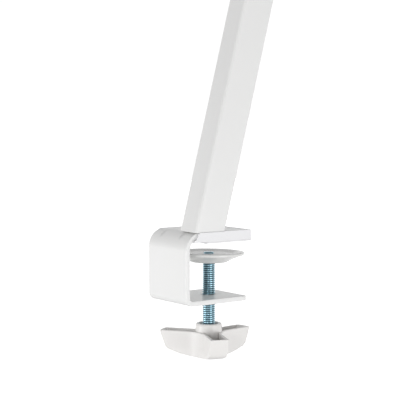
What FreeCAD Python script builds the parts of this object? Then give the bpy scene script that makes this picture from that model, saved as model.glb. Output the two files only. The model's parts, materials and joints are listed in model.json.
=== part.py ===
"""Clamp-on swing arm desk lamp, millimetres.

Origin: on the clamp screw's axis, on the face of the upper jaw that lies on the desk.
+X points into the desk, +Z up.  The lower arm stands at the -Y side of the clamp.
"""

import FreeCAD, Part
import math
import os

os.makedirs("parts", exist_ok=True)
V = FreeCAD.Vector

# ---------------------------------------------------------------- clearances
RUN = 0.05            # radial clearance of a shaft that turns in its hole
SLIP = 0.1            # side clearance of a piece that slides or drops into another
SEAT = 0.1            # gap between a turning face and the face beside it

# ---------------------------------------------------------------- clamp strap
STRAP_WIDTH = 39.0
STRAP_THICK = 3.0
THROAT = 31.0         # screw axis to the outer face of the web
JAW_PAD_THICK = 1.0
SHOE_FLOOR = 2.65     # shoe plastic between the pad and the strap
LOWER_ARM_TOP = -33.4
LOWER_ARM_REACH = 14.6
UPPER_ARM_REACH = 14.8
TOP_BEND_R = 10.5     # outer radius
BOTTOM_BEND_R = 5.0   # outer radius
STRAP_CORNER_R = 2.0
DART_R = 2.6
DART_DEPTH = 1.2
DART_SPACING = 19.5
DART_INNER_SHARE = 0.28   # half length of the inner bulge, in parts of the dart's cutter
STRAP_UNDER = JAW_PAD_THICK + SHOE_FLOOR
STRAP_TOP = STRAP_UNDER + STRAP_THICK

# ---------------------------------------------------------------- jaw shoe
SHOE_WALL = 1.5
SHOE_NOSE = 2.0
SHOE_TAIL_TOP = -21.6
SHOE_TAIL_SHOULDER = -23.0
SHOE_SHOULDER_DROP = 0.9
SHOE_TAIL_WAIST = -24.1
SHOE_WAIST_H = 1.9    # above the shoe's underside
SHOE_TAIL_BOTTOM = -26.0
SHOE_TOE_H = 1.0
SHOE_CORNER_R = 1.2
SHOE_POCKET_GAP = 0.5
JAW_PAD_TAIL = -17.0

# ---------------------------------------------------------------- clamp screw
SCREW_R = 4.0
SCREW_TOP = -13.7
SCREW_CHAMFER = 0.7
SPIGOT_R = 3.0
SPIGOT_TOP = -7.6
SPIGOT_CHAMFER = 0.3
GROOVE_R = 2.5
SCREW_HEAD_AF = 13.0
SCREW_HEAD_H = 5.3

# ---------------------------------------------------------------- pressure disc
DISC_R = 21.7
DISC_TOP = -7.45
DISC_RIM_H = 1.6
DISC_EDGE = 0.5
DISC_LAND = 3.4       # width of the flat ring at the top of the rim
DISC_RAMP = 3.0       # width of the slope between the ring and the dish
DISC_DISH = 1.0
DISC_NECK_R = 15.5
DISC_NECK_Z = -11.3
DISC_FOOT_R = 11.3
DISC_FOOT_Z = -13.6
LIP_H = 0.9

# ---------------------------------------------------------------- clamp knob
KNOB_TOP = -51.2
KNOB_LOBE_TOP = -56.3
KNOB_BOTTOM = -71.8
KNOB_R = 31.3
KNOB_LOBES = 3
KNOB_PHASE = 5.9
KNOB_LOBE_HALF = 5.5
KNOB_WAIST_R = 18.0
KNOB_TIP_R = 1.6
KNOB_WALL = 1.7
KNOB_FLOOR = 2.2
KNOB_HUB_R = 8.1
KNOB_HUB_EDGE_R = 1.2
KNOB_FOOT_R = 9.0
KNOB_FOOT_ROOF = 1.5
KNOB_RECESS_R = 5.7
KNOB_RECESS_H = 3.0
KNOB_CAP_H = 1.5
KNOB_CAP_BORDER = 0.3
KNOB_RAKE = (3.4, 0.56)    # how far in from the tip, and share of the lobe's height from its top
KNOB_HEEL = (4.8, 0.70)
KNOB_KEEL = (7.8, 0.79)
KNOB_BELLY = (0.42, 0.025)  # share of the knob's radius, and share of the lobe's height left

# ---------------------------------------------------------------- arm tubes
TUBE_X = 21.5
TUBE_Y = 15.9
TUBE_WALL = 1.5
TUBE_CORNER_R = 1.6
LEAN = 15.0           # of the lower arm, from upright
ARM_X = -13.7
ARM_INSET = 0.6       # near face of the arm, in from the near face of the shoe
LOWER_LENGTH = 385.0  # base to elbow axis
UPPER_LENGTH = 380.0  # elbow axis to tilt axis
TUBE_OVERHANG = 15.0  # tube past the elbow axis
UPPER_ANGLE = 90.0    # of the upper arm, from upright
TIP_SETBACK = 25.0    # end of the upper tube, before the tilt axis
CAP_PLATE = 2.0
CAP_PLUG = 6.0
PLUG_CORNER_R = 0.6
BORE_CORNER_R = 0.4   # least corner radius inside a tube
FOOT_ALLOWANCE = 12.0  # tube left below its foot before it is cut level

# ---------------------------------------------------------------- base swivel
BUSH_FLANGE_R = 7.5
BUSH_FLANGE_H = 0.4
BUSH_R = 4.5
PIVOT_R = 3.0
PIVOT_HEAD_R = 5.25
PIVOT_HEAD_H = 1.9
PIVOT_SOCKET_AF = 4.0
PIVOT_SOCKET_H = 1.1
PIVOT_REACH = 14.0
PIVOT_HOLE_SPARE = 0.5
PIVOT_WASHER_R = 6.5
PIVOT_WASHER_H = 0.5
PLUG_LENGTH = 32.0
PLUG_SCREWS = (13.0, 25.0)
PLUG_SCREW_R = 2.0
PLUG_SCREW_HEAD_R = 3.5
PLUG_SCREW_HEAD_H = 2.0
PLUG_SCREW_LENGTH = 7.0
PAN_HEAD_ROUND = 0.6  # share of a pan head's height that is rounded

# ---------------------------------------------------------------- power inlet
INLET_HEIGHT = 180.0  # along the arm
INLET_R = 4.0
INLET_BODY = 9.0
INLET_STICK_OUT = 3.0
INLET_SOCKET_R = 2.75
INLET_SOCKET_DEPTH = 9.0
INLET_PIN_R = 0.65
INLET_NUT_AF = 11.0
INLET_NUT_H = 2.0

# ---------------------------------------------------------------- elbow
ELBOW_BOLT_R = 3.0
ELBOW_HEAD_R = 5.5
ELBOW_HEAD_H = 2.5
ELBOW_SOCKET_AF = 4.0
ELBOW_SOCKET_H = 1.5
ELBOW_BLOCK = 26.0
ELBOW_WASHER_R = 10.0
ELBOW_GAP = 1.5
ELBOW_HEAD_EDGE_R = 0.6
ELBOW_PLATE_H = 1.0
ELBOW_PLATE_R = 7.0
ELBOW_KNOB_R = 17.0
ELBOW_KNOB_H = 12.0
ELBOW_KNOB_DIP = 6.0
ELBOW_BOLT_SETBACK = 3.0
HAND_KNOB_EDGE_R = 1.5
KNOB_FACE = 2.0       # plastic left over a hand knob's bore
ELBOW_NUT_AF = 10.0
ELBOW_NUT_H = 5.0

# ---------------------------------------------------------------- tilt joint
TONGUE_R = 9.0
TONGUE_THICK = 8.0
WRIST_PLUG = 24.0
WRIST_COLLAR = 2.0
WRIST_SCREWS = (7.0, 17.0)
WRIST_SCREW_R = 1.5
WRIST_SCREW_HEAD_R = 2.7
WRIST_SCREW_HEAD_H = 1.5
WRIST_SCREW_LENGTH = 6.0
EAR_THICK = 3.0
TILT_WASHER_H = 0.5
TILT_WASHER_R = 8.0
TILT_BOLT_R = 2.5
TILT_HEAD_R = 4.5
TILT_HEAD_H = 3.0
TILT_SOCKET_AF = 3.0
YOKE_BASE = 5.0
YOKE_EDGE_R = 1.0
TILT_KNOB_R = 12.5
TILT_KNOB_H = 10.0
TILT_KNOB_DIP = 4.5
TILT_BOLT_SETBACK = 2.5
TILT_NUT_AF = 8.0
TILT_NUT_H = 4.0
HEAD_DROP = 32.0      # tilt axis to the top of the head

# ---------------------------------------------------------------- head
HEAD_LENGTH = 420.0
HEAD_WIDTH = 36.0
HEAD_HEIGHT = 18.0
HEAD_WALL = 1.6
HEAD_CORNER_R = 3.0
END_CAP = 3.0
GROOVE_DEPTH = 0.8
DIFFUSER_Z = 1.0
DIFFUSER_H = 2.0
BOARD_Z = 9.4
BOARD_H = 1.6
LED_PITCH = 10.0
LED_SIZE = (2.8, 3.5, 0.8)
PORT_R = 2.4
PORT_BORE_R = 1.25
PORT_SINK = 0.4       # how far a screw port runs into the walls beside it
CAP_SCREW_HEAD_R = 2.3
CAP_SCREW_HEAD_H = 1.2
CAP_SCREW_LENGTH = 8.0
SWIVEL_R = 4.0
SWIVEL_PIN_HEAD_R = 4.5
SWIVEL_PIN_HEAD_H = 2.5
BEARING_R = 6.5
BEARING_FLANGE_R = 10.0
BEARING_FLANGE_H = 1.0
SWIVEL_WASHER_H = 0.6
SWIVEL_WASHER_R = 8.0
SWIVEL_NUT_AF = 13.0
SWIVEL_NUT_H = 2.6
BUTTON_R = 4.5
BUTTON_EDGE_R = 0.6
BUTTON_FLANGE_R = 5.6
BUTTON_FLANGE_H = 1.0
BUTTON_STICK_OUT = 1.2
BUTTON_TRAVEL = 0.8
BUTTON_PITCH = 16.0
BUTTON_FROM_END = 18.0
CONTROL_BOARD = (18.0, 34.0, 1.0)
CONTROL_PAD_H = 0.6
SWITCH_SIZE = (6.0, 6.0)

# ---------------------------------------------------------------- derived places
ARM_Y = -(STRAP_WIDTH / 2 + SHOE_WALL) + ARM_INSET + TUBE_Y / 2
BASE_Z = STRAP_TOP + BUSH_FLANGE_H
BASE = V(ARM_X, ARM_Y, BASE_Z + SEAT)
UPPER_Y = ARM_Y + TUBE_Y + ELBOW_GAP
BORE_X = TUBE_X - 2 * TUBE_WALL
BORE_Y = TUBE_Y - 2 * TUBE_WALL


def along(angle, distance):
    """Vector of a length at an angle from upright, leaning to +X."""
    turn = math.radians(angle)
    return V(distance * math.sin(turn), 0, distance * math.cos(turn))


ELBOW = BASE + along(LEAN, LOWER_LENGTH)
UPPER = V(ELBOW.x, UPPER_Y, ELBOW.z)
TILT = UPPER + along(UPPER_ANGLE, UPPER_LENGTH)
HEAD_TOP = TILT.z - HEAD_DROP
HEAD_BOTTOM = HEAD_TOP - HEAD_HEIGHT
HEAD_Y0 = TILT.y - HEAD_LENGTH / 2


# ---------------------------------------------------------------- helpers
def box(x0, x1, y0, y1, z0, z1):
    """Box between two corners."""
    return Part.makeBox(x1 - x0, y1 - y0, z1 - z0, V(x0, y0, z0))


def rod(radius, start, end):
    """Cylinder from one point to another."""
    return Part.makeCylinder(radius, (end - start).Length, start, end - start)


def ring(inner, outer, start, end):
    """Plain washer or sleeve from one point to another."""
    return rod(outer, start, end).cut(rod(inner, start, end))


def hexagon(across_flats, start, end):
    """Hexagonal bar from one point to another."""
    flat = across_flats / math.sqrt(3)
    axis = (end - start).normalize()
    side = V(1, 0, 0) if abs(axis.x) < 0.9 else V(0, 1, 0)
    u = axis.cross(side).normalize()
    w = axis.cross(u)
    points = []
    for i in range(7):
        a = math.radians(60 * i)
        points.append(start + u * (flat * math.cos(a)) + w * (flat * math.sin(a)))
    return Part.Face(Part.makePolygon(points)).extrude(end - start)


def edges_along(shape, direction):
    """Straight edges of a shape that run along a direction."""
    chosen = []
    for edge in shape.Edges:
        if not isinstance(edge.Curve, Part.Line):
            continue
        if abs(edge.tangentAt(edge.FirstParameter).dot(direction)) > 0.9999:
            chosen.append(edge)
    return chosen


def rounded_bar(size_x, size_y, z0, z1, radius):
    """Bar along Z with rounded long edges, centred on the Z axis."""
    bar = box(-size_x / 2, size_x / 2, -size_y / 2, size_y / 2, z0, z1)
    return bar.makeFillet(radius, edges_along(bar, V(0, 0, 1)))


def lean(shape, origin, angle):
    """Turn a shape made upright at the origin to an arm's angle and place."""
    shape.rotate(V(0, 0, 0), V(0, 1, 0), angle)
    shape.translate(origin)
    return shape


def tube(z0, z1):
    """Hollow rectangular arm tube along Z."""
    inner_r = max(TUBE_CORNER_R - TUBE_WALL, BORE_CORNER_R)
    outer = rounded_bar(TUBE_X, TUBE_Y, z0, z1, TUBE_CORNER_R)
    return outer.cut(rounded_bar(BORE_X, BORE_Y, z0, z1, inner_r))


def tube_plug(z0, z1):
    """Solid bar that slides into the arm tube."""
    return rounded_bar(BORE_X - 2 * SLIP, BORE_Y - 2 * SLIP, z0, z1, PLUG_CORNER_R)


def revolve(points):
    """Solid of revolution about the Z axis from (radius, height) points."""
    corners = [V(r, 0, z) for r, z in points]
    corners.append(corners[0])
    return Part.Face(Part.makePolygon(corners)).revolve(V(0, 0, 0), V(0, 0, 1), 360)


def lobed_knob(radius, lobes, dip, start, height):
    """Hand knob along +Y: a rim with shallow finger dips between its lobes."""
    axis_end = start + V(0, height, 0)
    body = rod(radius, start, axis_end)
    circular = [e for e in body.Edges if isinstance(e.Curve, Part.Circle)]
    body = body.makeFillet(HAND_KNOB_EDGE_R, circular)
    for i in range(lobes):
        a = math.radians(360 * (i + 0.5) / lobes)
        side = V(math.cos(a), 0, math.sin(a)) * (radius + dip)
        body = body.cut(rod(2 * dip, start + side - V(0, 1, 0), axis_end + side + V(0, 1, 0)))
    return body


def save(name, *solids):
    """Write one node: a single solid, or a group of separate solids."""
    shape = solids[0] if len(solids) == 1 else Part.makeCompound(list(solids))
    shape.exportStep("parts/" + name + ".step")


# ---------------------------------------------------------------- clamp
def strap_outline():
    """Side outline of the strap in the XZ plane, a closed wire."""
    t = STRAP_THICK
    bottom = LOWER_ARM_TOP - t
    s = math.sqrt(0.5)

    def bend(cx, cz, radius, ax, az, start, end):
        """Quarter bend about a centre, through its middle."""
        return Part.Arc(start, V(cx + ax * radius * s, 0, cz + az * radius * s), end)

    tx, tz = -THROAT + TOP_BEND_R, STRAP_TOP - TOP_BEND_R
    bx, bz = -THROAT + BOTTOM_BEND_R, bottom + BOTTOM_BEND_R
    ti, bi = TOP_BEND_R - t, BOTTOM_BEND_R - t
    p = [
        V(UPPER_ARM_REACH, 0, STRAP_TOP), V(tx, 0, STRAP_TOP), V(-THROAT, 0, tz),
        V(-THROAT, 0, bz), V(bx, 0, bottom), V(LOWER_ARM_REACH, 0, bottom),
        V(LOWER_ARM_REACH, 0, LOWER_ARM_TOP), V(bx, 0, LOWER_ARM_TOP), V(-THROAT + t, 0, bz),
        V(-THROAT + t, 0, tz), V(tx, 0, STRAP_UNDER), V(UPPER_ARM_REACH, 0, STRAP_UNDER),
    ]
    curves = [
        Part.LineSegment(p[0], p[1]),
        bend(tx, tz, TOP_BEND_R, -1, 1, p[1], p[2]),
        Part.LineSegment(p[2], p[3]),
        bend(bx, bz, BOTTOM_BEND_R, -1, -1, p[3], p[4]),
        Part.LineSegment(p[4], p[5]),
        Part.LineSegment(p[5], p[6]),
        Part.LineSegment(p[6], p[7]),
        bend(bx, bz, bi, -1, -1, p[7], p[8]),
        Part.LineSegment(p[8], p[9]),
        bend(tx, tz, ti, -1, 1, p[9], p[10]),
        Part.LineSegment(p[10], p[11]),
        Part.LineSegment(p[11], p[0]),
    ]
    return Part.Wire([c.toShape() for c in curves])


def c_bracket():
    """Bent strap with two darts pressed across its upper bend."""
    strap = Part.Face(strap_outline()).extrude(V(0, STRAP_WIDTH, 0))
    strap.translate(V(0, -STRAP_WIDTH / 2, 0))
    ends = [e for e in edges_along(strap, V(0, 0, 1)) if e.BoundBox.XMin > 0]
    strap = strap.makeFillet(STRAP_CORNER_R, ends)
    centre = V(-THROAT + TOP_BEND_R, 0, STRAP_TOP - TOP_BEND_R)
    outwards = V(-1, 0, 1).normalize()
    run = V(1, 0, 1).normalize() * (1.2 * TOP_BEND_R)
    for y in (-DART_SPACING / 2, DART_SPACING / 2):
        outer = centre + outwards * (TOP_BEND_R + DART_R - DART_DEPTH) + V(0, y, 0)
        inner = centre + outwards * (TOP_BEND_R - STRAP_THICK + DART_R - DART_DEPTH) + V(0, y, 0)
        bulge = run * DART_INNER_SHARE
        strap = strap.fuse(rod(DART_R, inner - bulge, inner + bulge))
        strap = strap.cut(rod(DART_R, outer - run, outer + run))
    base_hole = rod(BUSH_R, V(ARM_X, ARM_Y, STRAP_UNDER - 1), V(ARM_X, ARM_Y, STRAP_TOP + 1))
    low = LOWER_ARM_TOP - STRAP_THICK
    screw_hole = rod(SCREW_R + RUN, V(0, 0, low - 1), V(0, 0, LOWER_ARM_TOP + 1))
    return strap.cut(base_hole).cut(screw_hole).removeSplitter()


def upper_jaw_shoe(bracket):
    """Plastic tray round the strap's top arm, open above."""
    nose = UPPER_ARM_REACH + SHOE_NOSE
    half = STRAP_WIDTH / 2 + SHOE_WALL
    side = [
        (SHOE_TAIL_BOTTOM, JAW_PAD_THICK), (nose, JAW_PAD_THICK), (nose, STRAP_TOP),
        (SHOE_TAIL_TOP, STRAP_TOP), (SHOE_TAIL_SHOULDER, STRAP_TOP - SHOE_SHOULDER_DROP),
        (SHOE_TAIL_WAIST, JAW_PAD_THICK + SHOE_WAIST_H),
        (SHOE_TAIL_BOTTOM, JAW_PAD_THICK + SHOE_TOE_H), (SHOE_TAIL_BOTTOM, JAW_PAD_THICK),
    ]
    outline = Part.makePolygon([V(x, -half, z) for x, z in side])
    shoe = Part.Face(outline).extrude(V(0, 2 * half, 0))
    corners = [e for e in edges_along(shoe, V(0, 0, 1)) if e.BoundBox.XMin > 0]
    shoe = shoe.makeFillet(SHOE_CORNER_R, corners)
    pocket = rod(PIVOT_WASHER_R + SHOE_POCKET_GAP, V(ARM_X, ARM_Y, 0), V(ARM_X, ARM_Y, STRAP_TOP + 1))
    solids = shoe.cut(bracket).cut(pocket).Solids
    return max(solids, key=lambda s: s.Volume)


def jaw_pad():
    """Thin rubber sheet on the shoe's underside."""
    half = STRAP_WIDTH / 2 + SHOE_WALL
    pad = box(JAW_PAD_TAIL, UPPER_ARM_REACH + SHOE_NOSE, -half, half, 0, JAW_PAD_THICK)
    corners = [e for e in edges_along(pad, V(0, 0, 1)) if e.BoundBox.XMin > 0]
    return pad.makeFillet(SHOE_CORNER_R, corners)


def swivel_bush():
    """Flanged nylon bush that the lower arm turns on."""
    foot = V(ARM_X, ARM_Y, STRAP_UNDER)
    top = V(ARM_X, ARM_Y, BASE_Z)
    sleeve = rod(BUSH_R, foot, top)
    flange = rod(BUSH_FLANGE_R, V(ARM_X, ARM_Y, STRAP_TOP), top)
    return sleeve.fuse(flange).cut(rod(PIVOT_R + RUN, foot, top)).removeSplitter()


def pressure_disc():
    """Dished disc with a hollow foot that snaps on the screw's spigot."""
    floor = DISC_TOP - DISC_DISH
    bore = SPIGOT_R + RUN
    lip = GROOVE_R + RUN
    lip_low = (SPIGOT_TOP + SCREW_TOP) / 2 - LIP_H / 2
    return revolve([
        (bore, floor), (DISC_R - DISC_LAND - DISC_RAMP, floor), (DISC_R - DISC_LAND, DISC_TOP),
        (DISC_R - DISC_EDGE, DISC_TOP), (DISC_R, DISC_TOP - DISC_EDGE), (DISC_R, DISC_TOP - DISC_RIM_H),
        (DISC_NECK_R, DISC_NECK_Z), (DISC_FOOT_R, DISC_FOOT_Z), (bore, DISC_FOOT_Z),
        (bore, lip_low), (lip, lip_low), (lip, lip_low + LIP_H), (bore, lip_low + LIP_H),
    ])


def clamp_screw():
    """M8 screw: envelope of the thread, a grooved spigot above, a hexagon head below."""
    c = SCREW_CHAMFER
    head_top = KNOB_BOTTOM + KNOB_CAP_H + SLIP + SCREW_HEAD_H
    half_groove = LIP_H / 2 + SEAT
    middle = (SPIGOT_TOP + SCREW_TOP) / 2
    shank = revolve([
        (0, head_top), (SCREW_R, head_top), (SCREW_R, SCREW_TOP - c), (SCREW_R - c, SCREW_TOP),
        (SPIGOT_R, SCREW_TOP), (SPIGOT_R, middle - half_groove), (GROOVE_R, middle - half_groove),
        (GROOVE_R, middle + half_groove), (SPIGOT_R, middle + half_groove),
        (SPIGOT_R, SPIGOT_TOP - SPIGOT_CHAMFER), (SPIGOT_R - SPIGOT_CHAMFER, SPIGOT_TOP),
        (0, SPIGOT_TOP),
    ])
    head = hexagon(SCREW_HEAD_AF, V(0, 0, head_top - SCREW_HEAD_H), V(0, 0, head_top))
    return shank.fuse(head).removeSplitter()


def knob_outline(inset, z0, z1):
    """Three-lobed prism, its outline drawn in by an inset."""
    half = KNOB_LOBE_HALF - inset
    length = KNOB_R - inset
    prism = None
    for i in range(KNOB_LOBES):
        lobe = box(0, length, -half, half, z0, z1)
        tips = [e for e in edges_along(lobe, V(0, 0, 1)) if e.BoundBox.XMin > 1]
        lobe = lobe.makeFillet(max(KNOB_TIP_R - inset, BORE_CORNER_R), tips)
        lobe.rotate(V(0, 0, 0), V(0, 0, 1), KNOB_PHASE + i * 360 / KNOB_LOBES)
        prism = lobe if prism is None else prism.fuse(lobe)
    prism = prism.removeSplitter()
    inner = [e for e in edges_along(prism, V(0, 0, 1))
             if math.hypot(e.CenterOfMass.x, e.CenterOfMass.y) < 1.5 * KNOB_LOBE_HALF]
    return prism.makeFillet(KNOB_WAIST_R + inset, inner)


def knob_bowl(inset, floor):
    """Body of revolution that rounds the lobes' undersides and rakes their tips."""
    rise = KNOB_LOBE_TOP - KNOB_BOTTOM

    def lobe_point(place, lift):
        """Point of the lobe's end, lifted by a share of the floor."""
        back, share = place
        return V(KNOB_R - back - inset, 0, KNOB_LOBE_TOP - share * rise + lift * floor)

    top = lobe_point((0, 0), 0)
    low = lobe_point(KNOB_RAKE, 0.5)
    mid = lobe_point(KNOB_HEEL, 1)
    keel = lobe_point(KNOB_KEEL, 1)
    half = V(KNOB_R * KNOB_BELLY[0], 0, KNOB_BOTTOM + KNOB_BELLY[1] * rise + floor)
    foot = V(0, 0, KNOB_BOTTOM + floor)
    slope = KNOB_RAKE[0] / (KNOB_RAKE[1] * rise)
    lid = V(KNOB_R - inset + slope, 0, KNOB_LOBE_TOP + 1)
    curves = [
        Part.Arc(foot, half, keel),
        Part.Arc(keel, mid, low),
        Part.LineSegment(low, top),
        Part.LineSegment(top, lid),
        Part.LineSegment(lid, V(0, 0, KNOB_LOBE_TOP + 1)),
        Part.LineSegment(V(0, 0, KNOB_LOBE_TOP + 1), foot),
    ]
    wire = Part.Wire([c.toShape() for c in curves])
    return Part.Face(wire).revolve(V(0, 0, 0), V(0, 0, 1), 360)


def clamp_knob():
    """Hollow three-lobed knob with a hub round the screw."""
    low = KNOB_BOTTOM - 1
    body = knob_outline(0, low, KNOB_LOBE_TOP).common(knob_bowl(0, 0))
    pocket = knob_outline(KNOB_WALL, low, KNOB_LOBE_TOP + 1)
    pocket = pocket.common(knob_bowl(KNOB_WALL, KNOB_FLOOR))
    hub = rod(KNOB_HUB_R, V(0, 0, KNOB_BOTTOM), V(0, 0, KNOB_TOP))
    crown = [e for e in hub.Edges if isinstance(e.Curve, Part.Circle) and e.BoundBox.ZMin > low + 5]
    hub = hub.makeFillet(KNOB_HUB_EDGE_R, crown)
    head_top = KNOB_BOTTOM + KNOB_CAP_H + 2 * SLIP + SCREW_HEAD_H
    foot = rod(KNOB_FOOT_R, V(0, 0, KNOB_BOTTOM), V(0, 0, head_top + KNOB_FOOT_ROOF)).common(knob_bowl(0, 0))
    body = body.cut(pocket).fuse(hub).fuse(foot)
    body = body.cut(rod(KNOB_RECESS_R, V(0, 0, KNOB_TOP - KNOB_RECESS_H), V(0, 0, KNOB_TOP + 1)))
    body = body.cut(rod(SCREW_R + RUN, V(0, 0, low), V(0, 0, KNOB_TOP)))
    body = body.cut(hexagon(SCREW_HEAD_AF + 2 * SLIP, V(0, 0, low), V(0, 0, head_top)))
    body = body.cut(rod(knob_cap_radius() + SLIP, V(0, 0, low), V(0, 0, KNOB_BOTTOM + KNOB_CAP_H)))
    return body.removeSplitter()


def knob_cap_radius():
    """Radius of the cap, just past the corners of the screw's head."""
    return SCREW_HEAD_AF / math.sqrt(3) + KNOB_CAP_BORDER


def knob_cap():
    """Round cap that closes the screw head's pocket."""
    return rod(knob_cap_radius(), V(0, 0, KNOB_BOTTOM), V(0, 0, KNOB_BOTTOM + KNOB_CAP_H))


# ---------------------------------------------------------------- lower arm
def below_base():
    """Everything under the level that the lower arm is cut to."""
    return box(BASE.x - 60, BASE.x + 60, BASE.y - 60, BASE.y + 60, BASE.z - 60, BASE.z)


def side_screw(reach, shank_r, head_r, head_h, length, y=0.0):
    """Pan head screw along local -X, its head seated at x = reach, at local z = 0."""
    shank = rod(shank_r, V(reach - length, y, 0), V(reach, y, 0))
    head = rod(head_r, V(reach, y, 0), V(reach + head_h, y, 0))
    rim = [e for e in head.Edges if isinstance(e.Curve, Part.Circle) and e.BoundBox.XMin > reach + 0.1]
    return shank.fuse(head.makeFillet(head_h * PAN_HEAD_ROUND, rim))


def pivot_screw():
    """Low head screw up through the strap into the base plug."""
    head_top = STRAP_UNDER - SEAT - PIVOT_WASHER_H
    head_low = head_top - PIVOT_HEAD_H
    shank = rod(PIVOT_R, V(ARM_X, ARM_Y, head_top), V(ARM_X, ARM_Y, BASE.z + PIVOT_REACH))
    head = rod(PIVOT_HEAD_R, V(ARM_X, ARM_Y, head_low), V(ARM_X, ARM_Y, head_top))
    start = V(ARM_X, ARM_Y, head_low - 1)
    socket = hexagon(PIVOT_SOCKET_AF, start, V(ARM_X, ARM_Y, head_low + PIVOT_SOCKET_H))
    return shank.fuse(head).cut(socket)


def pivot_washer():
    """Washer between the strap and the pivot screw's head."""
    top = STRAP_UNDER - SEAT
    low = V(ARM_X, ARM_Y, top - PIVOT_WASHER_H)
    return ring(PIVOT_R + RUN, PIVOT_WASHER_R, low, V(ARM_X, ARM_Y, top))


def base_plug():
    """Plug in the foot of the lower arm, tapped upright for the pivot screw."""
    plug = tube_plug(-FOOT_ALLOWANCE, PLUG_LENGTH)
    for z in PLUG_SCREWS:
        start = V(TUBE_X / 2 - PLUG_SCREW_LENGTH - SLIP, 0, z)
        plug = plug.cut(rod(PLUG_SCREW_R + RUN, start, V(TUBE_X, 0, z)))
    plug = lean(plug, BASE, LEAN).cut(below_base())
    deep = BASE.z + PIVOT_REACH + PIVOT_HOLE_SPARE
    return plug.cut(rod(PIVOT_R + RUN, V(ARM_X, ARM_Y, BASE.z - 1), V(ARM_X, ARM_Y, deep)))


def plug_screws():
    """Screws that hold the base plug, in the arm's desk side."""
    made = []
    for z in PLUG_SCREWS:
        screw = side_screw(TUBE_X / 2, PLUG_SCREW_R, PLUG_SCREW_HEAD_R, PLUG_SCREW_HEAD_H,
                           PLUG_SCREW_LENGTH)
        screw.translate(V(0, 0, z))
        made.append(lean(screw, BASE, LEAN))
    return made


def lower_arm_tube():
    """Lower arm, cut level at the foot and square at the top."""
    arm = tube(-FOOT_ALLOWANCE, LOWER_LENGTH + TUBE_OVERHANG)
    for z in PLUG_SCREWS:
        arm = arm.cut(rod(PLUG_SCREW_R + RUN, V(0, 0, z), V(TUBE_X, 0, z)))
    arm = arm.cut(rod(INLET_R + RUN, V(0, 0, INLET_HEIGHT), V(TUBE_X, 0, INLET_HEIGHT)))
    across = rod(ELBOW_BOLT_R + RUN, V(0, -TUBE_Y, LOWER_LENGTH), V(0, TUBE_Y, LOWER_LENGTH))
    return lean(arm.cut(across), BASE, LEAN).cut(below_base())


def power_inlet():
    """Socket for the plug of a mains adapter, fixed through the arm's wall."""
    wall = TUBE_X / 2 - TUBE_WALL
    mouth = TUBE_X / 2 + INLET_STICK_OUT
    body = box(wall - INLET_BODY, wall, -INLET_BODY / 2, INLET_BODY / 2,
               INLET_HEIGHT - INLET_BODY / 2, INLET_HEIGHT + INLET_BODY / 2)
    neck = rod(INLET_R, V(wall - 1, 0, INLET_HEIGHT), V(mouth, 0, INLET_HEIGHT))
    deep = V(mouth - INLET_SOCKET_DEPTH, 0, INLET_HEIGHT)
    inlet = body.fuse(neck).cut(rod(INLET_SOCKET_R, deep, V(mouth + 1, 0, INLET_HEIGHT)))
    pin = rod(INLET_PIN_R, deep - V(1, 0, 0), V(mouth - 1, 0, INLET_HEIGHT))
    return lean(inlet.fuse(pin), BASE, LEAN)


def inlet_nut():
    """Nut that holds the inlet to the arm's wall."""
    start = V(TUBE_X / 2, 0, INLET_HEIGHT)
    end = start + V(INLET_NUT_H, 0, 0)
    nut = hexagon(INLET_NUT_AF, start, end).cut(rod(INLET_R + RUN, start, end))
    return lean(nut, BASE, LEAN)


def end_cap(z0, z1, plug_z):
    """Plastic cap over a tube's end with a plug inside it."""
    plate = rounded_bar(TUBE_X, TUBE_Y, z0, z1, TUBE_CORNER_R)
    edge = plug_z if plug_z < z0 else z1
    far = z0 if plug_z < z0 else plug_z
    return plate.fuse(tube_plug(edge, far)).removeSplitter()


def lower_arm_cap():
    """Cap on the top of the lower arm."""
    top = LOWER_LENGTH + TUBE_OVERHANG
    return lean(end_cap(top, top + CAP_PLATE, top - CAP_PLUG), BASE, LEAN)


def elbow_block(hole_r):
    """Solid block inside a tube where the elbow bolt crosses it."""
    reach = TUBE_OVERHANG - CAP_PLUG - SLIP
    block = tube_plug(reach - ELBOW_BLOCK, reach)
    return block.cut(rod(hole_r, V(0, -TUBE_Y, 0), V(0, TUBE_Y, 0)))


def lower_elbow_block():
    """Block in the lower arm; the bolt doesn't turn in it."""
    return lean(elbow_block(ELBOW_BOLT_R + RUN), ELBOW, LEAN)


def elbow_y():
    """Y of the bolt's head seat, the washer's two faces and the knob's seat."""
    head = ARM_Y - TUBE_Y / 2
    washer = ARM_Y + TUBE_Y / 2
    outer = UPPER_Y + TUBE_Y / 2
    return head, washer, washer + ELBOW_GAP, outer


def at_elbow(y):
    """Point on the elbow's axis."""
    return V(ELBOW.x, y, ELBOW.z)


def elbow_bolt():
    """Bolt across both arms, its head at the near side."""
    seat, _, _, outer = elbow_y()
    tip = outer + ELBOW_PLATE_H + ELBOW_KNOB_H - ELBOW_BOLT_SETBACK
    shank = rod(ELBOW_BOLT_R, at_elbow(seat), at_elbow(tip))
    head = rod(ELBOW_HEAD_R, at_elbow(seat - ELBOW_HEAD_H), at_elbow(seat))
    rim = [e for e in head.Edges if isinstance(e.Curve, Part.Circle) and e.BoundBox.YMax < seat - 0.1]
    start, end = at_elbow(seat - ELBOW_HEAD_H - 1), at_elbow(seat - ELBOW_HEAD_H + ELBOW_SOCKET_H)
    return shank.fuse(head.makeFillet(ELBOW_HEAD_EDGE_R, rim)).cut(hexagon(ELBOW_SOCKET_AF, start, end))


def elbow_washer():
    """Friction washer between the two arms."""
    _, low, high, _ = elbow_y()
    return ring(ELBOW_BOLT_R + RUN, ELBOW_WASHER_R, at_elbow(low), at_elbow(high - SEAT))


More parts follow.
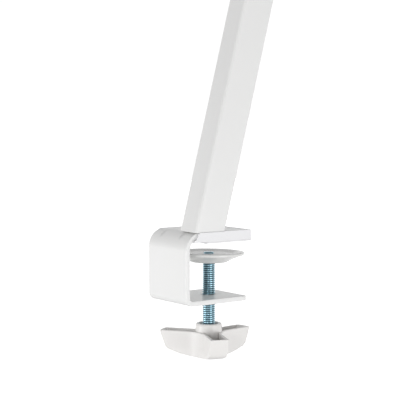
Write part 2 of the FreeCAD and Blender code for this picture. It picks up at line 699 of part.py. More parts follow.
# ---------------------------------------------------------------- upper arm
def upper_arm_tube():
    """Upper arm, from behind the elbow to the tilt joint."""
    arm = tube(-TUBE_OVERHANG, UPPER_LENGTH - TIP_SETBACK)
    arm = arm.cut(rod(ELBOW_BOLT_R + RUN, V(0, -TUBE_Y, 0), V(0, TUBE_Y, 0)))
    for z in WRIST_SCREWS:
        at = UPPER_LENGTH - TIP_SETBACK - z
        arm = arm.cut(rod(WRIST_SCREW_R + RUN, V(0, 0, at), V(TUBE_X, 0, at)))
    return lean(arm, UPPER, UPPER_ANGLE)


def upper_elbow_block():
    """Block in the upper arm, which turns on the bolt."""
    block = elbow_block(ELBOW_BOLT_R + RUN)
    block.rotate(V(0, 0, 0), V(0, 1, 0), 180)
    return lean(block, UPPER, UPPER_ANGLE)


def upper_arm_cap():
    """Cap on the rear end of the upper arm."""
    end = -TUBE_OVERHANG
    return lean(end_cap(end - CAP_PLATE, end, end + CAP_PLUG), UPPER, UPPER_ANGLE)


def elbow_pressure_washer():
    """Steel washer under the elbow knob."""
    outer = elbow_y()[3]
    top = at_elbow(outer + ELBOW_PLATE_H - SEAT)
    return ring(ELBOW_BOLT_R + RUN, ELBOW_PLATE_R, at_elbow(outer), top)


def elbow_knob():
    """Three-lobed hand knob at the elbow."""
    start = at_elbow(elbow_y()[3] + ELBOW_PLATE_H)
    body = lobed_knob(ELBOW_KNOB_R, 3, ELBOW_KNOB_DIP, start, ELBOW_KNOB_H)
    body = body.cut(rod(ELBOW_BOLT_R + RUN, start, start + V(0, ELBOW_KNOB_H - KNOB_FACE, 0)))
    return body.cut(hexagon(ELBOW_NUT_AF + 2 * SLIP, start, start + V(0, ELBOW_NUT_H, 0)))


def elbow_knob_nut():
    """Nut moulded in the elbow knob."""
    start = at_elbow(elbow_y()[3] + ELBOW_PLATE_H)
    end = start + V(0, ELBOW_NUT_H - SLIP, 0)
    return hexagon(ELBOW_NUT_AF, start, end).cut(rod(ELBOW_BOLT_R + RUN, start, end))


def wrist_block():
    """Block in the upper arm's end with the tongue of the tilt joint."""
    end = UPPER_LENGTH - TIP_SETBACK
    block = tube_plug(end - WRIST_PLUG, end)
    collar = rounded_bar(TUBE_X, TUBE_Y, end, end + WRIST_COLLAR, TUBE_CORNER_R)
    half = TONGUE_THICK / 2
    neck = box(-TONGUE_R, TONGUE_R, -half, half, end - 1, UPPER_LENGTH)
    nose = rod(TONGUE_R, V(0, -half, UPPER_LENGTH), V(0, half, UPPER_LENGTH))
    block = block.fuse(collar).fuse(neck).fuse(nose)
    block = block.cut(rod(TILT_BOLT_R + RUN, V(0, -TUBE_Y, UPPER_LENGTH), V(0, TUBE_Y, UPPER_LENGTH)))
    for z in WRIST_SCREWS:
        start = V(TUBE_X / 2 - WRIST_SCREW_LENGTH - SLIP, 0, end - z)
        block = block.cut(rod(WRIST_SCREW_R + RUN, start, V(TUBE_X, 0, end - z)))
    return lean(block.removeSplitter(), UPPER, UPPER_ANGLE)


def wrist_screws():
    """Screws that hold the wrist block, in the arm's underside."""
    made = []
    for z in WRIST_SCREWS:
        screw = side_screw(TUBE_X / 2, WRIST_SCREW_R, WRIST_SCREW_HEAD_R, WRIST_SCREW_HEAD_H,
                           WRIST_SCREW_LENGTH)
        screw.translate(V(0, 0, UPPER_LENGTH - TIP_SETBACK - z))
        made.append(lean(screw, UPPER, UPPER_ANGLE))
    return made


# ---------------------------------------------------------------- tilt bracket
def tilt_y():
    """Half widths of the tilt joint: tongue, inner ear face, outer ear face."""
    inner = TONGUE_THICK / 2 + TILT_WASHER_H + SEAT
    return TONGUE_THICK / 2, inner, inner + EAR_THICK


def at_tilt(y, z=0.0):
    """Point beside the tilt axis."""
    return V(TILT.x, TILT.y + y, TILT.z + z)


def yoke_base_z():
    """Underside of the yoke's base, just over the swivel bearing's flange."""
    return HEAD_TOP + BEARING_FLANGE_H + SEAT


def tilt_yoke():
    """Fork that hangs from the tongue and carries the swivel pin."""
    _, inner, outer = tilt_y()
    low = yoke_base_z()
    base_top = low + YOKE_BASE
    yoke = box(TILT.x - TONGUE_R, TILT.x + TONGUE_R, TILT.y - outer, TILT.y + outer, low, base_top)
    for side in (-1, 1):
        y0, y1 = sorted((side * inner, side * outer))
        ear = box(TILT.x - TONGUE_R, TILT.x + TONGUE_R, TILT.y + y0, TILT.y + y1, low, TILT.z)
        yoke = yoke.fuse(ear).fuse(rod(TONGUE_R, at_tilt(y0), at_tilt(y1)))
    yoke = yoke.removeSplitter()
    upright = [e for e in edges_along(yoke, V(0, 0, 1)) if e.BoundBox.ZMin < base_top - 1]
    outer_edges = [e for e in upright if abs(e.CenterOfMass.y - TILT.y) > inner + 0.5]
    yoke = yoke.makeFillet(YOKE_EDGE_R, outer_edges)
    yoke = yoke.cut(rod(TILT_BOLT_R + RUN, at_tilt(-outer - 1), at_tilt(outer + 1)))
    return yoke.cut(rod(SWIVEL_R + RUN, V(TILT.x, TILT.y, low - 1), V(TILT.x, TILT.y, base_top + 1)))


def tilt_bolt():
    """Bolt through the fork and the tongue, its head at the near side."""
    outer = tilt_y()[2]
    tip = outer + TILT_KNOB_H - TILT_BOLT_SETBACK
    shank = rod(TILT_BOLT_R, at_tilt(-outer), at_tilt(tip))
    head = rod(TILT_HEAD_R, at_tilt(-outer - TILT_HEAD_H), at_tilt(-outer))
    start, end = at_tilt(-outer - TILT_HEAD_H - 1), at_tilt(-outer - TILT_HEAD_H / 2)
    return shank.fuse(head).cut(hexagon(TILT_SOCKET_AF, start, end))


def tilt_washers():
    """Friction washers at both sides of the tongue."""
    tongue, inner, _ = tilt_y()
    made = []
    for side in (-1, 1):
        y0, y1 = sorted((side * (tongue + SEAT), side * inner))
        made.append(ring(TILT_BOLT_R + RUN, TILT_WASHER_R, at_tilt(y0), at_tilt(y1)))
    return made


def tilt_knob():
    """Three-lobed hand knob of the tilt joint."""
    start = at_tilt(tilt_y()[2] + SEAT)
    body = lobed_knob(TILT_KNOB_R, 3, TILT_KNOB_DIP, start, TILT_KNOB_H)
    body = body.cut(rod(TILT_BOLT_R + RUN, start, start + V(0, TILT_KNOB_H - KNOB_FACE, 0)))
    return body.cut(hexagon(TILT_NUT_AF + 2 * SLIP, start, start + V(0, TILT_NUT_H, 0)))


def tilt_knob_nut():
    """Nut moulded in the tilt knob."""
    start = at_tilt(tilt_y()[2] + SEAT)
    end = start + V(0, TILT_NUT_H - SLIP, 0)
    return hexagon(TILT_NUT_AF, start, end).cut(rod(TILT_BOLT_R + RUN, start, end))


def on_swivel(z):
    """Point on the head's swivel axis."""
    return V(TILT.x, TILT.y, z)


def swivel_pin():
    """Pin from the yoke's base down into the head."""
    seat = yoke_base_z() + YOKE_BASE
    head = rod(SWIVEL_PIN_HEAD_R, on_swivel(seat), on_swivel(seat + SWIVEL_PIN_HEAD_H))
    return head.fuse(rod(SWIVEL_R, on_swivel(swivel_nut_z()), on_swivel(seat))).removeSplitter()


def swivel_nut_z():
    """Underside of the swivel nut."""
    return HEAD_TOP - HEAD_WALL - SEAT - SWIVEL_WASHER_H - SWIVEL_NUT_H


def swivel_nut():
    """Thin nut on the swivel pin, inside the head."""
    low = on_swivel(swivel_nut_z())
    high = on_swivel(swivel_nut_z() + SWIVEL_NUT_H)
    return hexagon(SWIVEL_NUT_AF, low, high).cut(rod(SWIVEL_R + RUN, low, high))


def swivel_washer():
    """Washer between the swivel nut and the head's roof."""
    low = swivel_nut_z() + SWIVEL_NUT_H
    return ring(SWIVEL_R + RUN, SWIVEL_WASHER_R, on_swivel(low), on_swivel(low + SWIVEL_WASHER_H))


# ---------------------------------------------------------------- head
def head_bar(y0, y1):
    """Outer form of the head between two places along its length."""
    half = HEAD_WIDTH / 2
    bar = box(TILT.x - half, TILT.x + half, y0, y1, HEAD_BOTTOM, HEAD_TOP)
    top = [e for e in edges_along(bar, V(0, 1, 0)) if e.BoundBox.ZMin > HEAD_TOP - 1]
    return bar.makeFillet(HEAD_CORNER_R, top)


def port_places():
    """X and Z of the two screw ports in the head's upper corners."""
    z = HEAD_TOP - HEAD_WALL - PORT_R + PORT_SINK
    reach = HEAD_WIDTH / 2 - HEAD_WALL - PORT_R + PORT_SINK
    return (TILT.x - reach, z), (TILT.x + reach, z)


def button_places():
    """Y of the two buttons' axes."""
    first = HEAD_Y0 + END_CAP + BUTTON_FROM_END
    return first, first + BUTTON_PITCH


def head_housing():
    """Extruded roof and sides of the head, open below, with two pairs of grooves."""
    y0, y1 = HEAD_Y0 + END_CAP, HEAD_Y0 + HEAD_LENGTH - END_CAP
    inside = HEAD_WIDTH / 2 - HEAD_WALL
    room = box(TILT.x - inside, TILT.x + inside, y0, y1, HEAD_BOTTOM - 1, HEAD_TOP - HEAD_WALL)
    roof_edges = [e for e in edges_along(room, V(0, 1, 0)) if e.BoundBox.ZMin > HEAD_BOTTOM]
    room = room.makeFillet(HEAD_CORNER_R - HEAD_WALL, roof_edges)
    housing = head_bar(y0, y1).cut(room)
    for x, z in port_places():
        housing = housing.fuse(rod(PORT_R, V(x, y0, z), V(x, y1, z)).common(head_bar(y0, y1)))
    for x, z in port_places():
        housing = housing.cut(rod(PORT_BORE_R + RUN, V(x, y0, z), V(x, y1, z)))
    wide = inside + GROOVE_DEPTH + SLIP
    for z, height in ((DIFFUSER_Z, DIFFUSER_H), (BOARD_Z, BOARD_H)):
        low = HEAD_BOTTOM + z - SLIP
        groove = box(TILT.x - wide, TILT.x + wide, y0, y1, low, low + height + 2 * SLIP)
        housing = housing.cut(groove)
    roof = HEAD_TOP - HEAD_WALL
    housing = housing.cut(rod(BEARING_R, on_swivel(roof - 1), on_swivel(HEAD_TOP + 1)))
    for y in button_places():
        housing = housing.cut(rod(BUTTON_R + SLIP, V(TILT.x, y, roof - 1), V(TILT.x, y, HEAD_TOP + 1)))
    return housing


def swivel_bearing():
    """Flanged nylon bush in the head's roof."""
    low, seat, high = HEAD_TOP - HEAD_WALL, HEAD_TOP, HEAD_TOP + BEARING_FLANGE_H
    bush = rod(BEARING_R, on_swivel(low), on_swivel(high))
    bush = bush.fuse(rod(BEARING_FLANGE_R, on_swivel(seat), on_swivel(high)))
    return bush.cut(rod(SWIVEL_R + RUN, on_swivel(low), on_swivel(high))).removeSplitter()


def head_end_cap(side):
    """Moulded cap at one end of the head, side -1 or +1."""
    if side < 0:
        y0, y1 = HEAD_Y0, HEAD_Y0 + END_CAP
    else:
        y0, y1 = HEAD_Y0 + HEAD_LENGTH - END_CAP, HEAD_Y0 + HEAD_LENGTH
    cap = head_bar(y0, y1)
    for x, z in port_places():
        cap = cap.cut(rod(PORT_BORE_R + RUN, V(x, y0, z), V(x, y1, z)))
        seat = sorted((y0 if side < 0 else y1, (y0 if side < 0 else y1) - side * CAP_SCREW_HEAD_H))
        cap = cap.cut(rod(CAP_SCREW_HEAD_R + SLIP, V(x, seat[0], z), V(x, seat[1], z)))
    return cap


def end_cap_screws():
    """Screws of both end caps, heads sunk flush."""
    made = []
    for side in (-1, 1):
        outside = TILT.y + side * HEAD_LENGTH / 2
        seat = outside - side * CAP_SCREW_HEAD_H
        tip = outside - side * (END_CAP + CAP_SCREW_LENGTH)
        for x, z in port_places():
            head = rod(CAP_SCREW_HEAD_R, V(x, seat, z), V(x, outside, z))
            made.append(head.fuse(rod(PORT_BORE_R, V(x, tip, z), V(x, seat, z))))
    return made


def head_plate(z, height):
    """Flat strip that slides into a pair of the head's grooves."""
    half = HEAD_WIDTH / 2 - HEAD_WALL + GROOVE_DEPTH
    y0, y1 = HEAD_Y0 + END_CAP, HEAD_Y0 + HEAD_LENGTH - END_CAP
    return box(TILT.x - half, TILT.x + half, y0, y1, HEAD_BOTTOM + z, HEAD_BOTTOM + z + height)


def led_chips():
    """Row of light emitting diodes under the board."""
    wide, long, high = LED_SIZE
    room = HEAD_LENGTH - 2 * END_CAP - 2 * LED_PITCH
    count = int(room / LED_PITCH) + 1
    top = HEAD_BOTTOM + BOARD_Z
    made = []
    for i in range(count):
        y = TILT.y + (i - (count - 1) / 2) * LED_PITCH
        made.append(box(TILT.x - wide / 2, TILT.x + wide / 2, y - long / 2, y + long / 2,
                        top - high, top))
    return made


def control_z():
    """Underside of the control board and the top of its switches."""
    low = HEAD_BOTTOM + BOARD_Z + BOARD_H + CONTROL_PAD_H
    top = HEAD_TOP - HEAD_WALL - BUTTON_FLANGE_H - BUTTON_TRAVEL - SEAT
    return low, top


def control_middle():
    """Y of the middle of the control board."""
    first, second = button_places()
    return (first + second) / 2


def control_board():
    """Small circuit board under the buttons."""
    wide, long, thick = CONTROL_BOARD
    low, y = control_z()[0], control_middle()
    return box(TILT.x - wide / 2, TILT.x + wide / 2, y - long / 2, y + long / 2, low, low + thick)


def control_pad():
    """Adhesive pad between the two boards."""
    wide, long, _ = CONTROL_BOARD
    low, y = control_z()[0], control_middle()
    return box(TILT.x - wide / 2, TILT.x + wide / 2, y - long / 2, y + long / 2,
               low - CONTROL_PAD_H, low)


def tact_switches():
    """Push switches on the control board, one under each button."""
    low, top = control_z()
    seat = low + CONTROL_BOARD[2]
    half_x, half_y = SWITCH_SIZE[0] / 2, SWITCH_SIZE[1] / 2
    made = []
    for y in button_places():
        made.append(box(TILT.x - half_x, TILT.x + half_x, y - half_y, y + half_y, seat, top))
    return made


def push_button(y):
    """Round button cap with a flange under the head's roof."""
    roof = HEAD_TOP - HEAD_WALL
    low = roof - BUTTON_FLANGE_H
    button = rod(BUTTON_R, V(TILT.x, y, low), V(TILT.x, y, HEAD_TOP + BUTTON_STICK_OUT))
    rim = [e for e in button.Edges if isinstance(e.Curve, Part.Circle) and e.BoundBox.ZMin > HEAD_TOP]
    button = button.makeFillet(BUTTON_EDGE_R, rim)
    flange = rod(BUTTON_FLANGE_R, V(TILT.x, y, low), V(TILT.x, y, roof - RUN))
    return button.fuse(flange)


# ---------------------------------------------------------------- build
def build():
    """Make every node and write it."""
    bracket = c_bracket()
    save("c_bracket", bracket)
    save("upper_jaw_shoe", upper_jaw_shoe(bracket))
    save("jaw_pad", jaw_pad())
    save("swivel_bush", swivel_bush())
    save("pressure_disc", pressure_disc())
    save("clamp_screw", clamp_screw())
    save("clamp_knob", clamp_knob())
    save("knob_cap", knob_cap())

    save("pivot_screw", pivot_screw())
    save("pivot_washer", pivot_washer())
    save("base_plug", base_plug())
    save("plug_screws", *plug_screws())
    save("lower_arm_tube", lower_arm_tube())
    save("power_inlet", power_inlet())
    save("inlet_nut", inlet_nut())
    save("lower_arm_cap", lower_arm_cap())
    save("lower_elbow_block", lower_elbow_block())
    save("elbow_bolt", elbow_bolt())
    save("elbow_washer", elbow_washer())

    save("upper_arm_tube", upper_arm_tube())
    save("upper_elbow_block", upper_elbow_block())
    save("upper_arm_cap", upper_arm_cap())
    save("elbow_pressure_washer", elbow_pressure_washer())
    save("wrist_block", wrist_block())
    save("wrist_screws", *wrist_screws())
    save("elbow_knob", elbow_knob())
    save("elbow_knob_nut", elbow_knob_nut())

    save("tilt_yoke", tilt_yoke())
    save("tilt_bolt", tilt_bolt())
    save("tilt_washers", *tilt_washers())
    save("tilt_knob", tilt_knob())
    save("tilt_knob_nut", tilt_knob_nut())
    save("swivel_pin", swivel_pin())
    save("swivel_nut", swivel_nut())
    save("swivel_washer", swivel_washer())

    save("head_housing", head_housing())
    save("swivel_bearing", swivel_bearing())
    save("head_end_cap_near", head_end_cap(-1))
    save("head_end_cap_far", head_end_cap(1))
    save("end_cap_screws", *end_cap_screws())
    save("diffuser", head_plate(DIFFUSER_Z, DIFFUSER_H))
    save("led_board", head_plate(BOARD_Z, BOARD_H))
    save("led_chips", *led_chips())
    save("control_pad", control_pad())
    save("control_board", control_board())
    save("tact_switches", *tact_switches())
    power_y, dimmer_y = button_places()
    save("power_button", push_button(power_y))
    save("dimmer_button", push_button(dimmer_y))
    print("elbow axis", ELBOW, "tilt axis", TILT, "head top", HEAD_TOP)
    print("lower arm base", BASE, "buttons", power_y, dimmer_y)


build()
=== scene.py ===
"""Looks of a clamp-on swing arm desk lamp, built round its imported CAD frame.

Every shape is in metres in the frame of the CAD model: the origin lies on the clamp screw's axis at
the face of the upper jaw, +X points into the desk and +Z points up.
"""

import json
import logging
import math
from dataclasses import dataclass
from enum import Enum

import bmesh
import bpy
import numpy as np
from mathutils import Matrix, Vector


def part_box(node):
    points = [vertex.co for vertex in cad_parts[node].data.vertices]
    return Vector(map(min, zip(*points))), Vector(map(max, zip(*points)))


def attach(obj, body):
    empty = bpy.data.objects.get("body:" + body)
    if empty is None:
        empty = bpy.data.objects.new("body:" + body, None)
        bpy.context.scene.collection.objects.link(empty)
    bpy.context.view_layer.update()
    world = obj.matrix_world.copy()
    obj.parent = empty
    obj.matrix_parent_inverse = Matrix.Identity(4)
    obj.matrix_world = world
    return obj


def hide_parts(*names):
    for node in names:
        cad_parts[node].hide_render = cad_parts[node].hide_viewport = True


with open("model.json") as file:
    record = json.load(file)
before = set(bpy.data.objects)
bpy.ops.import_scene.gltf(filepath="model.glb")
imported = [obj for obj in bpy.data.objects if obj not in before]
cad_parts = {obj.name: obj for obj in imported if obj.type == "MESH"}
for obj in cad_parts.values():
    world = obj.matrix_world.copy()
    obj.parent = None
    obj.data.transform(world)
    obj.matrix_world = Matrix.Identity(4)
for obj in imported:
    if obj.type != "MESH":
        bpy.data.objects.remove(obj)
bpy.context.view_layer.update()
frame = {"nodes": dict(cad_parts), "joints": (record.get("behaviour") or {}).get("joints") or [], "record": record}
LOG = logging.getLogger("lamp")
MM = 0.001
THIRD = 2 * math.pi / 3
ARM_FOOT = 0.5 * MM
ARM_PAST_ELBOW = 15 * MM
ARM_BEFORE_TILT = 25 * MM
LOWER_JAW_SHORT = 0.2 * MM


# ------------------------------------------------------------------ finishes
class Grain(Enum):
    """Relief of a finish."""

    ORANGE_PEEL = "orange_peel"
    MOULDED = "moulded"
    TURNED = "turned"
    SMOOTH = "smooth"


@dataclass(frozen=True)
class Finish:
    """One material: a colour with slight variation, a roughness with patches, and a relief.

    thread_mm holds the radii of a thread's root and crest; the last field holds the share of the colour that is
    left in the root, which paints shade into the thread's root.
    """

    name: str
    slot: str
    colour: tuple[float, float, float]
    roughness: float = 0.4
    metallic: float = 0.0
    coat: float = 0.0
    grain: Grain = Grain.SMOOTH
    grain_mm: float = 0.5
    relief_mm: float = 0.0
    mottle: float = 0.03
    mottle_mm: float = 14.0
    patch: float = 0.06
    subsurface: float = 0.0
    thread_mm: tuple[float, float] = (0.0, 0.0)
    # share of the colour kept in the thread's root: painted shade of the root
    root_shade: float = 0.4

    def build(self) -> bpy.types.Material:
        """Make the node material.

        Returns:
            The material, with all its patterns on Object coordinates.
        """
        made = bpy.data.materials.new(self.name)
        made.use_nodes = True
        tree = made.node_tree
        shader = tree.nodes["Principled BSDF"]
        where = tree.nodes.new("ShaderNodeTexCoord").outputs["Object"]
        self._colour(tree, where, shader)
        self._roughness(tree, where, shader)
        if self.relief_mm > 0:
            self._relief(tree, where, shader)
        shader.inputs["Metallic"].default_value = self.metallic
        shader.inputs["Coat Weight"].default_value = self.coat
        shader.inputs["Coat Roughness"].default_value = 0.12
        if self.subsurface > 0:
            shader.inputs["Subsurface Weight"].default_value = self.subsurface
            shader.inputs["Subsurface Radius"].default_value = (0.003, 0.0028, 0.0025)
            shader.inputs["Subsurface Scale"].default_value = 1.0
        return made

    def _noise(self, tree: bpy.types.NodeTree, where: bpy.types.NodeSocket, size_mm: float,
               detail: float,
               stretch: tuple[float, float, float] = (1, 1, 1)) -> bpy.types.NodeSocket:
        """Noise whose features are about size_mm across.

        Args:
            tree: the material's nodes.
            where: the coordinates.
            size_mm: the size of a feature.
            detail: octaves of finer noise.
            stretch: share of that size along each axis.

        Returns:
            The noise's factor.
        """
        mapping = tree.nodes.new("ShaderNodeMapping")
        scale = [1.0 / (size_mm * MM * s) for s in stretch]
        mapping.inputs["Scale"].default_value = scale
        noise = tree.nodes.new("ShaderNodeTexNoise")
        noise.inputs["Scale"].default_value = 1.0
        noise.inputs["Detail"].default_value = detail
        tree.links.new(where, mapping.inputs["Vector"])
        tree.links.new(mapping.outputs["Vector"], noise.inputs["Vector"])
        return noise.outputs["Fac"]

    def _colour(self, tree: bpy.types.NodeTree, where: bpy.types.NodeSocket,
                shader: bpy.types.Node) -> None:
        """Base colour, a little darker in soft patches."""
        ramp = tree.nodes.new("ShaderNodeValToRGB")
        low, high = ramp.color_ramp.elements
        patch_start, patch_end = 0.36, 0.62
        low.position, high.position = patch_start, patch_end
        low.color = (*[c * (1 - self.mottle) for c in self.colour], 1)
        high.color = (*self.colour, 1)
        tree.links.new(self._noise(tree, where, self.mottle_mm, 3.0), ramp.inputs["Fac"])
        colour = ramp.outputs["Color"]
        # painted shade: the thread's colour is scaled down between its root and its crest
        if self.thread_mm[1] > 0:
            colour = self._root_shaded(tree, where, colour)
        tree.links.new(colour, shader.inputs["Base Color"])

    def _root_shaded(self, tree: bpy.types.NodeTree, where: bpy.types.NodeSocket,
                colour: bpy.types.NodeSocket) -> bpy.types.NodeSocket:
        """Painted shade in the thread's root: the colour is darkened there, by the distance from the Z axis in
        spans of 4 mm.

        Inside the root, on the plain end of the screw, it is at full strength again.

        Args:
            tree: the material's nodes.
            where: the coordinates.
            colour: the colour at the crest.

        Returns:
            The scaled colour.
        """
        span_mm, fade = 4, 0.02
        flat = tree.nodes.new("ShaderNodeVectorMath")
        flat.operation = "MULTIPLY"
        flat.inputs[1].default_value = (1 / MM / span_mm, 1 / MM / span_mm, 0)
        length = tree.nodes.new("ShaderNodeVectorMath")
        length.operation = "LENGTH"
        ramp = tree.nodes.new("ShaderNodeValToRGB")
        root, crest = (radius / span_mm for radius in self.thread_mm)
        stops = ramp.color_ramp.elements
        stops[0].position, stops[1].position = root - fade, crest
        stops[0].color = stops[1].color = (1, 1, 1, 1)
        # painted shade: at the root the colour is scaled down by this share
        stops.new(root).color = (self.root_shade, self.root_shade, self.root_shade, 1)
        scale = tree.nodes.new("ShaderNodeVectorMath")
        scale.operation = "MULTIPLY"
        tree.links.new(where, flat.inputs[0])
        tree.links.new(flat.outputs["Vector"], length.inputs[0])
        tree.links.new(length.outputs["Value"], ramp.inputs["Fac"])
        tree.links.new(colour, scale.inputs[0])
        tree.links.new(ramp.outputs["Color"], scale.inputs[1])
        return scale.outputs["Vector"]

    def _roughness(self, tree: bpy.types.NodeTree, where: bpy.types.NodeSocket,
                   shader: bpy.types.Node) -> None:
        """Roughness that wanders between two near values."""
        spread = tree.nodes.new("ShaderNodeMapRange")
        spread.inputs["From Min"].default_value = 0.3
        spread.inputs["From Max"].default_value = 0.7
        spread.inputs["To Min"].default_value = max(self.roughness - self.patch, 0.02)
        spread.inputs["To Max"].default_value = self.roughness + self.patch
        tree.links.new(self._noise(tree, where, self.mottle_mm * 0.4, 4.0), spread.inputs["Value"])
        tree.links.new(spread.outputs["Result"], shader.inputs["Roughness"])

    def _relief(self, tree: bpy.types.NodeTree, where: bpy.types.NodeSocket,
                shader: bpy.types.Node) -> None:
        """Bump of the finish's grain."""
        if self.grain is Grain.TURNED:
            height = self._noise(tree, where, self.grain_mm, 2.0, (12, 12, 1))
        elif self.grain is Grain.MOULDED:
            height = self._noise(tree, where, self.grain_mm, 5.0)
        else:
            height = self._noise(tree, where, self.grain_mm, 1.0)
        bump = tree.nodes.new("ShaderNodeBump")
        bump.inputs["Strength"].default_value = 0.35
        bump.inputs["Distance"].default_value = self.relief_mm * MM
        tree.links.new(height, bump.inputs["Height"])
        tree.links.new(bump.outputs["Normal"], shader.inputs["Normal"])


POWDER = Finish("white_powder", "white_powder_coat", (0.80, 0.80, 0.795), 0.34, coat=0.12,
                grain=Grain.ORANGE_PEEL, grain_mm=1.0, relief_mm=0.004, mottle=0.008, patch=0.03)
ALLOY = Finish("white_alloy", "white_coated_aluminium", (0.80, 0.80, 0.795), 0.34, coat=0.12,
               grain=Grain.ORANGE_PEEL, grain_mm=1.0, relief_mm=0.004, mottle=0.008, patch=0.03)
SHOE = Finish("shoe_plastic", "white_shoe_plastic", (0.82, 0.82, 0.835), 0.42,
              grain=Grain.MOULDED, grain_mm=0.35, relief_mm=0.004, mottle=0.008, patch=0.03)
RUBBER = Finish("pad_rubber", "pad_rubber", (0.80, 0.80, 0.81), 0.6,
                grain=Grain.MOULDED, grain_mm=0.3, relief_mm=0.01, mottle=0.012)
NYLON = Finish("nylon", "nylon", (0.70, 0.69, 0.65), 0.45, grain=Grain.MOULDED,
               grain_mm=0.4, relief_mm=0.006)
DISC = Finish("disc_plastic", "grey_disc_plastic", (0.70, 0.70, 0.69), 0.22,
              grain=Grain.MOULDED, grain_mm=0.6, relief_mm=0.003, mottle=0.01, patch=0.03)
ZINC = Finish("zinc_plate", "zinc_steel", (0.42, 0.56, 0.62), 0.17, metallic=1.0,
              grain=Grain.TURNED, grain_mm=0.25, relief_mm=0.006, mottle=0.10, mottle_mm=6.0,
              patch=0.05)
WARM = Finish("warm_plastic", "warm_white_plastic", (0.80, 0.785, 0.77), 0.36,
              grain=Grain.MOULDED, grain_mm=0.5, relief_mm=0.004, mottle=0.008, patch=0.03)
BLACK = Finish("black_plastic", "black_plastic", (0.025, 0.025, 0.027), 0.42,
               grain=Grain.MOULDED, grain_mm=0.3, relief_mm=0.02, mottle=0.2)
OPAL = Finish("opal_sheet", "diffuser_opal", (0.86, 0.86, 0.85), 0.30, subsurface=0.1,
              mottle=0.004, grain=Grain.MOULDED, grain_mm=0.8, relief_mm=0.002, patch=0.02)
MASK = Finish("solder_mask", "board_white", (0.78, 0.78, 0.75), 0.35, mottle=0.03,
              grain=Grain.MOULDED, grain_mm=0.7, relief_mm=0.01)
GREEN = Finish("circuit_board", "board_green", (0.02, 0.14, 0.06), 0.35, mottle=0.25,
               mottle_mm=4.0, grain=Grain.MOULDED, grain_mm=0.7, relief_mm=0.02)
PHOSPHOR = Finish("phosphor", "led_yellow", (0.82, 0.62, 0.12), 0.3, mottle=0.05,
                  mottle_mm=1.0, grain=Grain.MOULDED, grain_mm=0.3, relief_mm=0.01)
THREAD = Finish("zinc_thread", "zinc_steel", (0.38, 0.58, 0.67), 0.20, metallic=1.0,
                grain=Grain.TURNED, grain_mm=0.25, relief_mm=0.006, mottle=0.10, mottle_mm=6.0,
                patch=0.05, thread_mm=(3.2, 3.9))
KEY = Finish("key_grey", "key_grey", (0.30, 0.31, 0.32), 0.42, grain=Grain.MOULDED,
             grain_mm=0.35, relief_mm=0.01, mottle=0.03)
FINISHES = (POWDER, ALLOY, SHOE, RUBBER, NYLON, DISC, ZINC, THREAD, WARM, BLACK, OPAL, MASK, GREEN,
            PHOSPHOR, KEY)


class Paintshop:
    """Builds each finish once and hands it out."""

    def __init__(self) -> None:
        """Make all the materials; a slot's own one is the first finish that names it."""
        self.made = {finish.name: finish.build() for finish in FINISHES}
        self.by_slot = {finish.slot: self.made[finish.name] for finish in reversed(FINISHES)}

    def dress(self, piece: bpy.types.Object, finish: Finish) -> None:
        """Give a new piece its material."""
        piece.data.materials.clear()
        piece.data.materials.append(self.made[finish.name])

    def dress_node(self, node: str, slot: str) -> None:
        """Give a CAD node the material of its slot."""
        for holder in frame["nodes"][node].material_slots:
            holder.material = self.by_slot[slot]


# ------------------------------------------------------------------ surfaces
@dataclass
class Skin:
    """Grid of points (rows, columns, 3); columns go round a closed outline."""

    points: np.ndarray
    closed_rows: bool = False

    def faces(self, start: int) -> list[tuple[int, ...]]:
        """Quads between neighbouring rows, and a face over each open end.

        Args:
            start: index of the skin's first vertex.

        Returns:
            The faces as tuples of vertex indices.
        """
        rows, columns = self.points.shape[:2]
        index = np.arange(rows * columns).reshape(rows, columns) + start
        if self.closed_rows:
            index = np.vstack([index, index[:1]])
        right = np.roll(index, -1, axis=1)
        quads = np.stack([index[:-1], right[:-1], right[1:], index[1:]], axis=-1).reshape(-1, 4)
        found = [tuple(q) for q in quads.tolist()]
        if not self.closed_rows:
            found.append(tuple(index[0][::-1].tolist()))
            found.append(tuple(index[-1].tolist()))
        return found

    def outward(self) -> "Skin":
        """The same skin, its faces turned outwards by the sign of the volume inside it."""
        p = self.points
        if self.closed_rows:
            p = np.concatenate([p, p[:1]])
        a, b = p[:-1], np.roll(p, -1, axis=1)[:-1]
        c, d = np.roll(p, -1, axis=1)[1:], p[1:]
        volume = (np.cross(a, b) * c).sum() + (np.cross(a, c) * d).sum()
        if not self.closed_rows:
            for ring, sign in ((p[0], -1), (p[-1], 1)):
                volume += sign * (np.cross(ring, np.roll(ring, -1, axis=0)) * ring[:1]).sum()
        return self if volume > 0 else Skin(self.points[:, ::-1], self.closed_rows)


def piece_from(name: str, skins: list[Skin], sharp_deg: float = 35.0) -> bpy.types.Object:
    """Put closed skins into one object, smooth but for its sharp edges.

    Args:
        name: the piece's name.
        skins: its closed shells.
        sharp_deg: edges past this angle stay sharp.

    Returns:
        The object, at the origin.
    """
    points, faces, start = [], [], 0
    for skin in (s.outward() for s in skins):
        points.append(skin.points.reshape(-1, 3))
        faces.extend(skin.faces(start))
        start += len(points[-1])
    mesh = bpy.data.meshes.new(name)
    mesh.from_pydata(np.concatenate(points).tolist(), [], faces)
    tidy(mesh, 2e-6)
    mesh.shade_smooth()
    mesh.set_sharp_from_angle(angle=math.radians(sharp_deg))
    piece = bpy.data.objects.new(name, mesh)
    bpy.context.scene.collection.objects.link(piece)
    return piece


def tidy(mesh: bpy.types.Mesh, distance: float) -> None:
    """Merge points that lie together and drop the faces that collapse."""
    work = bmesh.new()
    work.from_mesh(mesh)
    bmesh.ops.remove_doubles(work, verts=work.verts, dist=distance)
    bmesh.ops.dissolve_degenerate(work, edges=work.edges, dist=distance * 0.5)
    work.to_mesh(mesh)
    work.free()
    mesh.update()


